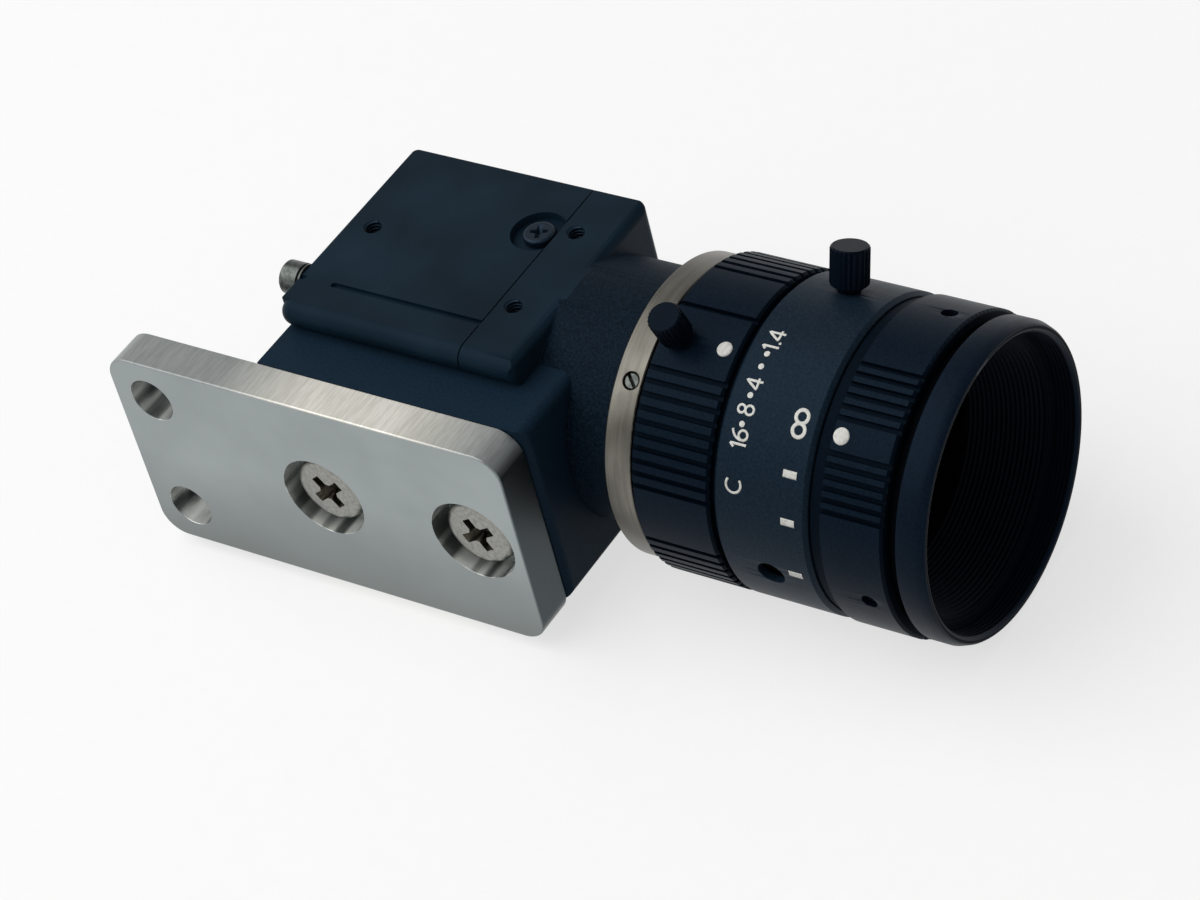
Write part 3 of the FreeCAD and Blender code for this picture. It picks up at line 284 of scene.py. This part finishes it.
def coated_glass(name, dark, light):
    """Polished optical glass: clear, and its coats leave so faint a reflection that its IOR is low."""
    made, tree, shader, place = new_material(
        name, **{"IOR": 1.1, "Transmission Weight": 1.0, "Specular IOR Level": 0.02})
    wipe = mottle(tree, place, 4, 2.0)
    finish(tree, shader, two_tones(tree, wipe, dark, light), wipe, 0.005, 0.03)
    return made


def moulded(name, dark, light, size, smooth, rough):
    """Moulded or laminated electrical plastic with a fine mould grain."""
    made, tree, shader, place = new_material(name, **{"IOR": 1.5})
    grain = mottle(tree, place, size)
    finish(tree, shader, two_tones(tree, grain, dark, light), grain, smooth, rough, 0.01)
    return made


PAINT = painted_aluminium()
COLLAR_PAINT = sprayed_texture()
BLOCK_BLACK = blackened("black_anodised_block", "#142433", "#1a2c3b", 0.42, 0.55, 0.05)
GRIP_BLACK = blackened("black_anodised_grip", "#06111d", "#0f1c29", 0.34, 0.46, 0.06)
# painted shade: a darker, duller black for the faces deep in the grip grooves and for the filter thread
GROOVE_SHADE_BLACK = blackened("groove_painted_shade_black", "#040b14", "#08121d", 0.5, 0.62, 0.04)
SCALE_BLACK = blackened("black_anodised_scale", "#0d1a26", "#1b2935", 0.40, 0.52, 0.1)
RIM_BLACK = blackened("black_anodised_rim", "#06101c", "#0e1a27", 0.36, 0.46)
KNURL_BLACK = blackened("black_anodised_knurl", "#020812", "#060e19", 0.30, 0.42, 0.06)
BLACK_SCREW = blackened("black_oxide_screw", "#08131d", "#111e2a", 0.3, 0.42, 0.3)
PLATE_METAL = milled_nickel()
BORE_METAL = drilled_nickel()
MOUNT_METAL = turned_nickel()
SCREW_METAL = small_metal("nickel_plated_screw", "#858580", "#9d9d98", 0.26, 0.42)
POST_METAL = small_metal("dulled_nickel_post", "#4b4f4d", "#666a67", 0.3, 0.42)
# painted shade: a darker metal for the cross recesses of the plate's screws
RECESS_SHADE_METAL = small_metal("drive_recess_painted_shade", "#39362f", "#5a564c", 0.4, 0.55)
PIN_STEEL = small_metal("ground_steel_pin", "#8d8f92", "#a3a5a8", 0.25, 0.4)
DARK_BRASS = small_metal("blackened_brass", "#0c0b0a", "#171512", 0.45, 0.6)
BLADE_STEEL = small_metal("blackened_spring_steel", "#101214", "#1b1d20", 0.45, 0.6, 0.7)
GOLD = small_metal("gold_plated_contact", "#c99c45", "#e0b663", 0.2, 0.32)
MARKS = marking_enamel()
INNER_BLACK = matt_lacquer()
LENS_GLASS = coated_glass("coated_optical_glass", "#c7d0ce", "#cbd4d2")
FILTER_GLASS = coated_glass("infrared_cut_glass", "#cde4e0", "#d1e8e4")
SOCKET_PLASTIC = moulded("moulded_connector_plastic", "#131313", "#1c1c1c", 0.3, 0.45, 0.6)
BOARD_GREEN = moulded("solder_resist_laminate", "#0f3d22", "#17512f", 0.8, 0.3, 0.45)
CHIP_CERAMIC = moulded("ceramic_chip_package", "#221f24", "#2d2a30", 0.4, 0.3, 0.45)

NODE_MATERIAL = {
    "front_housing": PAINT, "rear_cover": PAINT, "base_block": BLOCK_BLACK, "cover_screw": BLACK_SCREW,
    "connector_shell": SCREW_METAL, "connector_insert": SOCKET_PLASTIC, "connector_contacts": GOLD,
    "jack_posts": POST_METAL, "filter_glass": FILTER_GLASS, "filter_ring": BLOCK_BLACK,
    "image_sensor": CHIP_CERAMIC, "sensor_window": LENS_GLASS, "sensor_board": BOARD_GREEN,
    "main_board": BOARD_GREEN, "standoffs": SCREW_METAL, "base_screws": BLACK_SCREW,
    "mounting_plate": PLATE_METAL, "plate_screws": SCREW_METAL, "mount_ring": MOUNT_METAL,
    "mount_set_screws": POST_METAL, "main_barrel": INNER_BLACK, "core_key": PIN_STEEL,
    "scale_ring": SCALE_BLACK, "helicoid_clip": PIN_STEEL, "iris_ring": GRIP_BLACK,
    "iris_link_pin": PIN_STEEL, "iris_lock_screw": KNURL_BLACK, "helicoid_ring": DARK_BRASS,
    "focus_ring": GRIP_BLACK, "focus_set_screws": BLACK_SCREW, "focus_lock_screw": KNURL_BLACK,
    "lens_core": INNER_BLACK, "front_barrel": RIM_BLACK, "hood_ring": INNER_BLACK,
    "front_glass": LENS_GLASS, "middle_glass": LENS_GLASS, "rear_cell": INNER_BLACK,
    "rear_glass": LENS_GLASS, "rear_glass_ring": INNER_BLACK, "iris_base": INNER_BLACK,
    "drive_ring": DARK_BRASS, "iris_keeper": INNER_BLACK,
}
for name in frame["nodes"]:
    if name.startswith("iris_blade_"):
        NODE_MATERIAL[name] = BLADE_STEEL

for name, part in frame["nodes"].items():
    part.data.materials.clear()
    part.data.materials.append(NODE_MATERIAL[name])


# ---- pieces -------------------------------------------------------------------------------------
BODY_OF = {node: body for body, nodes in frame["record"]["behaviour"]["bodies"].items() for node in nodes}


def in_scene(name, mesh):
    made = bpy.data.objects.new(name, mesh)
    bpy.context.scene.collection.objects.link(made)
    return made


def settled(rough):
    """The mesh that an object's modifiers give it; the object and its modifiers then go."""
    result = bpy.data.meshes.new_from_object(rough.evaluated_get(bpy.context.evaluated_depsgraph_get()))
    bpy.data.objects.remove(rough)
    return result


def softened(node, width):
    """A finished copy of a CAD shape: doubles merged, and a small round on every sharp edge."""
    source = bmesh.new()
    source.from_mesh(frame["nodes"][node].data)
    bmesh.ops.remove_doubles(source, verts=source.verts, dist=0.002 * MM)
    bmesh.ops.dissolve_limit(source, angle_limit=radians(0.3), verts=source.verts, edges=source.edges)
    mesh = bpy.data.meshes.new("finished_" + node)
    source.to_mesh(mesh)
    source.free()
    mesh.shade_smooth()
    rough = in_scene("rough", mesh)
    bevel = rough.modifiers.new("edge round", "BEVEL")
    bevel.width = width * MM
    bevel.segments = 2
    bevel.limit_method = "ANGLE"
    bevel.angle_limit = radians(32)
    weight = rough.modifiers.new("even shading", "WEIGHTED_NORMAL")
    weight.keep_sharp = True
    result = settled(rough)
    result.materials.clear()
    result.materials.append(NODE_MATERIAL[node])
    piece = in_scene("finished_" + node, result)
    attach(piece, BODY_OF[node])
    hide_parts(node)


for node, width in (("mounting_plate", 0.09), ("base_block", 0.15), ("rear_cover", 0.1),
                    ("front_housing", 0.1), ("iris_ring", 0.07), ("focus_ring", 0.07), ("mount_ring", 0.08),
                    ("scale_ring", 0.08), ("front_barrel", 0.08), ("plate_screws", 0.03),
                    ("cover_screw", 0.02), ("jack_posts", 0.06), ("focus_lock_screw", 0.04),
                    ("iris_lock_screw", 0.04)):
    softened(node, width)


def repaint(node, material, test):
    """Gives a finished piece a second finish on the faces that pass a test."""
    mesh = bpy.data.objects["finished_" + node].data
    mesh.materials.append(material)
    for face in mesh.polygons:
        face.material_index = int(test(face))


def within(node, depth):
    """A test for the faces that lie more than a depth in from a ring's outer radius."""
    reach = radius_of(node) - depth * MM
    return lambda face: hypot(face.center.x - AXIS.x, face.center.z - AXIS.z) < reach


def plate_screw_heads():
    """The middles, in Y and Z, of the two screw heads of the plate."""
    low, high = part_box("plate_screws")
    head_radius = (high.z - low.z) / 2
    return [Vector((y, (low.z + high.z) / 2)) for y in (low.y + head_radius, high.y - head_radius)]


def in_cross_recess():
    """A test for the faces inside the cross recess of the two heads of the plate's screws."""
    heads = plate_screw_heads()
    outer_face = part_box("plate_screws")[0].x
    reach, rounding, depth = 2.35 * MM, 0.06 * MM, 2.2 * MM

    def test(face):
        near = any((face.center.yz - head).length < reach for head in heads)
        return near and outer_face + rounding < face.center.x < outer_face + depth
    return test


def in_plate_bore():
    """A test for the walls of the plate's fixing holes and counterbores."""
    holes = MOUNTS["plate_holes"]["dims"]
    half = holes["spacing_y_mm"] / 2 * MM
    bores = [(Vector((0, rise)), (holes["hole_r_mm"] + 0.1) * MM) for rise in (half, -half)]
    bores += [(head, 5.5 * MM) for head in plate_screw_heads()]

    def test(face):
        inside = any((face.center.yz - bore).length < reach for bore, reach in bores)
        return inside and abs(face.normal.x) < 0.5
    return test


repaint("front_housing", COLLAR_PAINT, lambda face: face.center.y < SEAT + COLLAR_START * MM)
# painted shade: the faces deep in the grooves of the iris and focus rings take the darker groove black
repaint("iris_ring", GROOVE_SHADE_BLACK, within("iris_ring", 0.12))
repaint("focus_ring", GROOVE_SHADE_BLACK, within("focus_ring", 0.12))
repaint("front_barrel", INNER_BLACK, within("front_barrel", 1.3))
# painted shade: the cross recesses of the plate's screws take a darker metal
repaint("plate_screws", RECESS_SHADE_METAL, in_cross_recess())
# painted reflections: the walls of the plate's holes and counterbores take bright and dark stripes
repaint("mounting_plate", BORE_METAL, in_plate_bore())


# ---- what repeats, by geometry nodes ------------------------------------------------------------


def new_tree(name, **sizes):
    """A tree with geometry in and out and its named sizes; returns the tree and its input node."""
    tree = bpy.data.node_groups.new(name, "GeometryNodeTree")
    tree.interface.new_socket("Geometry", in_out="INPUT", socket_type="NodeSocketGeometry")
    for label, size in sizes.items():
        kind = "NodeSocketVector" if isinstance(size, tuple) else "NodeSocketFloat"
        tree.interface.new_socket(label, in_out="INPUT", socket_type=kind).default_value = size
    tree.interface.new_socket("Geometry", in_out="OUTPUT", socket_type="NodeSocketGeometry")
    return tree, add(tree, "NodeGroupInput")


def close_tree(tree, geometry, material):
    real = add(tree, "GeometryNodeRealizeInstances", {0: geometry})
    add(tree, "NodeGroupOutput", {0: add(tree, "GeometryNodeSetMaterial", {0: real, "Material": material})})
    return tree


def wrapped(tree, geometry, ring_radius):
    """Bends flat geometry round the lens: x runs round the ring from the plate side up to the label
    face, y rearwards, z outwards."""
    flat = add(tree, "ShaderNodeSeparateXYZ", {0: add(tree, "GeometryNodeInputPosition")}).outputs
    turn = add(tree, "ShaderNodeMath", {0: flat["X"], 1: ring_radius}, operation="DIVIDE")
    rear = add(tree, "ShaderNodeMath", {0: flat["Y"], 1: SEAT}, operation="ADD")
    out = add(tree, "ShaderNodeMath", {0: flat["Z"], 1: ring_radius}, operation="ADD")
    side = add(tree, "ShaderNodeMath", {0: AXIS.x, 1: out}, operation="SUBTRACT")
    level = add(tree, "ShaderNodeCombineXYZ", {0: side, 1: rear, 2: AXIS.z})
    bent = add(tree, "ShaderNodeVectorRotate", {"Vector": level, "Center": AXIS, "Angle": turn},
               rotation_type="Y_AXIS")
    return add(tree, "GeometryNodeSetPosition", {"Geometry": geometry, "Position": bent})


def stroke_tree():
    """Painted strokes on a ring: each line of the drawing becomes a flat ribbon that follows it."""
    tree, given = new_tree("painted_strokes", Ring_Radius=0.018, Stroke_Width=0.0003, Thickness=0.0001)
    line = add(tree, "GeometryNodeMeshToCurve", {0: given})
    fine = add(tree, "GeometryNodeResampleCurve", {0: line, "Length": 0.25 * MM}, mode="LENGTH")
    half = add(tree, "ShaderNodeMath", {0: given.outputs["Stroke_Width"], 1: 0.5}, operation="MULTIPLY")
    section = add(tree, "GeometryNodeCurvePrimitiveCircle", {"Resolution": 8, "Radius": half})
    ribbon = add(tree, "GeometryNodeCurveToMesh", {0: fine, 1: section, "Fill Caps": True})
    flatness = add(tree, "ShaderNodeMath", {0: given.outputs["Thickness"], 1: given.outputs["Stroke_Width"]},
                   operation="DIVIDE")
    squash = add(tree, "ShaderNodeCombineXYZ", {0: 1.0, 1: 1.0, 2: flatness})
    flat = add(tree, "GeometryNodeTransform", {"Geometry": ribbon, "Scale": squash})
    return close_tree(tree, wrapped(tree, flat, given.outputs["Ring_Radius"]), MARKS)


def dot_tree():
    """Round painted dots on a ring, one at each point of the drawing."""
    tree, given = new_tree("painted_dots", Ring_Radius=0.018, Dot_Width=0.001, Thickness=0.0001)
    ball = add(tree, "GeometryNodeMeshUVSphere", {"Segments": 24, "Rings": 8, "Radius": 0.5})
    size = add(tree, "ShaderNodeCombineXYZ", {0: given.outputs["Dot_Width"], 1: given.outputs["Dot_Width"],
                                              2: given.outputs["Thickness"]})
    dots = add(tree, "GeometryNodeInstanceOnPoints", {"Points": given, "Instance": ball, "Scale": size})
    solid = add(tree, "GeometryNodeRealizeInstances", {0: dots})
    return close_tree(tree, wrapped(tree, solid, given.outputs["Ring_Radius"]), MARKS)


def thread_tree(name, material):
    """A screw thread at each point: a four-sided section swept along a helix."""
    tree, given = new_tree(name, Radius=0.001, Pitch=0.0005, Turns=4.0, Lay=(0.0, 0.0, 0.0))
    height = add(tree, "ShaderNodeMath", {0: given.outputs["Pitch"], 1: given.outputs["Turns"]},
                 operation="MULTIPLY")
    helix = add(tree, "GeometryNodeCurveSpiral",
                {"Resolution": 64, "Rotations": given.outputs["Turns"], "Height": height,
                 "Start Radius": given.outputs["Radius"], "End Radius": given.outputs["Radius"]})
    ridge = add(tree, "ShaderNodeMath", {0: given.outputs["Pitch"], 1: 0.42}, operation="MULTIPLY")
    section = add(tree, "GeometryNodeCurvePrimitiveCircle", {"Resolution": 4, "Radius": ridge})
    thread = add(tree, "GeometryNodeCurveToMesh", {0: helix, 1: section, "Fill Caps": True})
    laid = add(tree, "GeometryNodeInstanceOnPoints", {"Points": given, "Instance": thread,
                                                      "Rotation": given.outputs["Lay"]})
    return close_tree(tree, laid, material)


def grown(name, points, lines, tree, sizes, node):
    """A piece that a tree makes from a few points and lines, on the body of its CAD node."""
    drawing = bpy.data.meshes.new(name)
    drawing.from_pydata(points, lines, [])
    rough = in_scene("rough", drawing)
    modifier = rough.modifiers.new(name, "NODES")
    modifier.node_group = tree
    for socket in tree.interface.items_tree:
        if socket.name in sizes:
            modifier[socket.identifier] = sizes[socket.name]
    piece = in_scene(name, settled(rough))
    piece.data.name = name
    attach(piece, BODY_OF[node])


# ---- dial figures -------------------------------------------------------------------------------
FIGURE_HEIGHT = 2.0


def arc(x, y, radius, start, end, steps=14):
    """Points of an arc round a centre, from one angle to another in degrees."""
    return [(x + radius * cos(radians(start + (end - start) * i / steps)),
             y + radius * sin(radians(start + (end - start) * i / steps))) for i in range(steps + 1)]


# Each figure has a width and its strokes, in millimetres from the foot of its left side.
FIGURES = {
    "1": (0.95, [[(0.2, 1.5), (0.58, FIGURE_HEIGHT), (0.58, 0)]]),
    "4": (1.35, [[(0.9, 0), (0.9, FIGURE_HEIGHT), (0, 0.55), (1.25, 0.55)]]),
    "6": (1.3, [arc(0.62, 0.58, 0.55, 0, 360), arc(1.38, 0.65, 1.3, 175, 100)]),
    "8": (1.3, [arc(0.62, 1.5, 0.45, -90, 270), arc(0.62, 0.53, 0.52, -90, 270)]),
    "C": (1.5, [arc(0.9, 1.0, 0.92, 48, 312)]),
    ".": (0.5, [[(0.2, 0.0), (0.2, 0.26)]]),
    "infinity": (3.0, [arc(0.76, 1.0, 0.74, 0, 360, 20), arc(2.24, 1.0, 0.74, 180, 540, 20)]),
}


def written(words, ring_radius):
    """Points and lines of words on a ring; each is (text, forward and turn of its middle)."""
    points, lines = [], []
    for text, forward, turn in words:
        glyphs = [text] if text in FIGURES else list(text)
        pen = ring_radius * radians(turn) - sum(FIGURES[g][0] for g in glyphs) / 2
        for glyph in glyphs:
            width, strokes = FIGURES[glyph]
            for stroke in strokes:
                first = len(points)
                points += [((pen + x) * MM, (y - FIGURE_HEIGHT / 2 - forward) * MM, 0) for x, y in stroke]
                lines += [(first + i, first + i + 1) for i in range(len(stroke) - 1)]
            pen += width
    return points, lines


def spots(places, ring_radius):
    """Flat drawing points from (forward, turn) places on a ring."""
    return [(ring_radius * radians(turn) * MM, -forward * MM, 0) for forward, turn in places]


SCALE_RADIUS = radius_of("scale_ring") / MM
IRIS_RADIUS = 18.1
FOCUS_RADIUS = 18.2
STOP_ROW = 16.95            # middle of the aperture figures
STOP_FIGURES = [("1.4", STOP_ROW, 76.9), ("4", STOP_ROW, 60.3), ("8", STOP_ROW, 51.0),
                ("16", STOP_ROW, 40.8), ("C", STOP_ROW, 24.4)]
STOP_DOTS = [(STOP_ROW, turn) for turn in (71.3, 66.4, 55.9, 45.9)]
RANGE_ROW = 23.65           # middle of the distance marks
RANGE_BARS = (33.5, 16.2, -6.6)
BAR_LENGTH = 1.65
STROKES = stroke_tree()
DOTS = dot_tree()


def scale_marks():
    """The enamelled figures, dots and bars of the fixed ring."""
    sizes = {"Ring_Radius": SCALE_RADIUS * MM, "Thickness": 0.08 * MM}
    bars, ends = [], []
    for turn in RANGE_BARS:
        bars.append((len(ends), len(ends) + 1))
        ends += [(RANGE_ROW - BAR_LENGTH / 2, turn), (RANGE_ROW + BAR_LENGTH / 2, turn)]
    for name, drawing, width in (
            ("aperture_figures", written(STOP_FIGURES, SCALE_RADIUS), 0.3),
            ("far_mark", written([("infinity", RANGE_ROW, 50.9)], SCALE_RADIUS), 0.45),
            ("distance_bars", (spots(ends, SCALE_RADIUS), bars), 0.88)):
        grown(name, *drawing, STROKES, {**sizes, "Stroke_Width": width * MM}, "scale_ring")
    grown("half_stop_dots", spots(STOP_DOTS, SCALE_RADIUS), [], DOTS, {**sizes, "Dot_Width": 0.68 * MM},
          "scale_ring")


def index_dots():
    """The white domed dot on each turning ring."""
    for name, node, radius, forward, turn, width in (
            ("iris_index_dot", "iris_ring", IRIS_RADIUS, 12.0, 69.2, 1.8),
            ("focus_index_dot", "focus_ring", FOCUS_RADIUS, 28.7, 50.2, 1.9)):
        grown(name, spots([(forward, turn)], radius), [], DOTS,
              {"Ring_Radius": radius * MM, "Dot_Width": width * MM, "Thickness": 0.5 * MM}, node)


def threads():
    """The filter thread in the front rim, and the tapped holes of the label face."""
    bore = MOUNTS["filter_thread"]["dims"]["r_mm"]
    first_turn = (AXIS.x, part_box("front_barrel")[0].y + 0.5 * MM, AXIS.z)
    # painted shade: the filter thread takes the darker groove black
    grown("filter_thread", [first_turn], [], thread_tree("filter_thread", GROOVE_SHADE_BLACK),
          {"Radius": (bore + 0.1) * MM, "Pitch": 0.5 * MM, "Turns": 4.5, "Lay": (-pi / 2, 0, 0)},
          "front_barrel")
    mouths = [MOUNTS[name]["pos_m"] for name in ("face_hole_rear", "face_hole_left", "face_hole_right")]
    grown("tapped_hole_threads", [(x, y, LABEL_FACE - 0.45 * MM) for x, y, _ in mouths], [],
          thread_tree("tapped_hole_thread", BLACK_SCREW),
          {"Radius": 1.06 * MM, "Pitch": 0.45 * MM, "Turns": 4.0, "Lay": (pi, 0, 0)}, "front_housing")


scale_marks()
index_dots()
threads()


# ---- stage --------------------------------------------------------------------------------------


def seen(tree):
    """One for rays that show the stage, directly, in a reflection or through glass."""
    path = add(tree, "ShaderNodeLightPath").outputs
    direct = add(tree, "ShaderNodeMath", {0: path["Is Camera Ray"], 1: path["Is Glossy Ray"]},
                 operation="MAXIMUM")
    return add(tree, "ShaderNodeMath", {0: direct, 1: path["Is Transmission Ray"]}, operation="MAXIMUM")


def floor():
    """White paper; part of its white is its own glow, so that the shadow on it stays light."""
    reach = 3.0
    z = cad_bounds[0].z - 0.05 * MM
    mesh = bpy.data.meshes.new("floor")
    mesh.from_pydata([(-reach, -reach, z), (reach, -reach, z), (reach, reach, z), (-reach, reach, z)],
                     [], [(0, 1, 2, 3)])
    made = bpy.data.materials.new("white_paper_floor")
    made.use_nodes = True
    tree = made.node_tree
    tree.nodes.clear()
    place = add(tree, "ShaderNodeTexCoord").outputs["Object"]
    paper = add(tree, "ShaderNodeBsdfDiffuse",
                {"Color": two_tones(tree, mottle(tree, place, 2), "#a2a2a2", "#a4a4a4")})
    level = add(tree, "ShaderNodeMix", {0: seen(tree), 2: 0.0, 3: 0.665})
    glow = add(tree, "ShaderNodeEmission", {"Strength": level})
    add(tree, "ShaderNodeOutputMaterial", {"Surface": add(tree, "ShaderNodeAddShader", {0: paper, 1: glow})})
    mesh.materials.append(made)
    in_scene("floor", mesh)


def soft_box(name, direction, distance, size, strength):
    """A large lamp; a strength of 1 makes its panel as bright as white paper."""
    light = bpy.data.lights.new(name, "AREA")
    light.shape = "RECTANGLE"
    light.size, light.size_y = size
    light.energy = strength * pi * size[0] * size[1]
    holder = in_scene(name, light)
    way = Vector(direction).normalized()
    holder.location = (cad_bounds[0] + cad_bounds[1]) / 2 + way * distance
    holder.rotation_mode = "QUATERNION"
    holder.rotation_quaternion = way.to_track_quat("Z", "Y")


def studio():
    """A white wall at eye level and a dim ceiling, with one large soft box overhead."""
    sky = bpy.data.worlds.new("studio")
    bpy.context.scene.world = sky
    sky.use_nodes = True
    tree = sky.node_tree
    tree.nodes.clear()
    way = add(tree, "ShaderNodeSeparateXYZ", {0: add(tree, "ShaderNodeTexCoord").outputs["Generated"]})
    shown = add(tree, "ShaderNodeMapRange", {"Value": way.outputs["Z"], "From Min": 0.1, "From Max": 0.5,
                                             "To Min": 1.0, "To Max": 0.4})
    level = add(tree, "ShaderNodeMix", {0: seen(tree), 2: 0.28, 3: shown})
    light = add(tree, "ShaderNodeBackground", {"Color": srgb("#ffffff"), "Strength": level})
    add(tree, "ShaderNodeOutputWorld", {"Surface": light})
    soft_box("key", (-0.4, 0.55, 1.0), 0.9, (1.2, 1.0), 1.95)


def camera():
    """A long lens from above, on the plate side and in front, rolled a little."""
    eye = bpy.data.cameras.new("camera")
    eye.sensor_width = 36
    eye.lens = 119.4
    eye.clip_start, eye.clip_end = 0.01, 20
    holder = in_scene("camera", eye)
    right = Vector((0.5167143, -0.83229819, -0.20071386))
    up = Vector((0.64606763, 0.22522309, 0.72929499))
    turn = Matrix((right, up, right.cross(up))).transposed().to_4x4()
    holder.matrix_world = Matrix.Translation(Vector((-0.23195, -0.27342, 0.29050))) @ turn
    bpy.context.scene.camera = holder


floor()
studio()
camera()
bpy.context.scene.view_settings.view_transform = "Standard"
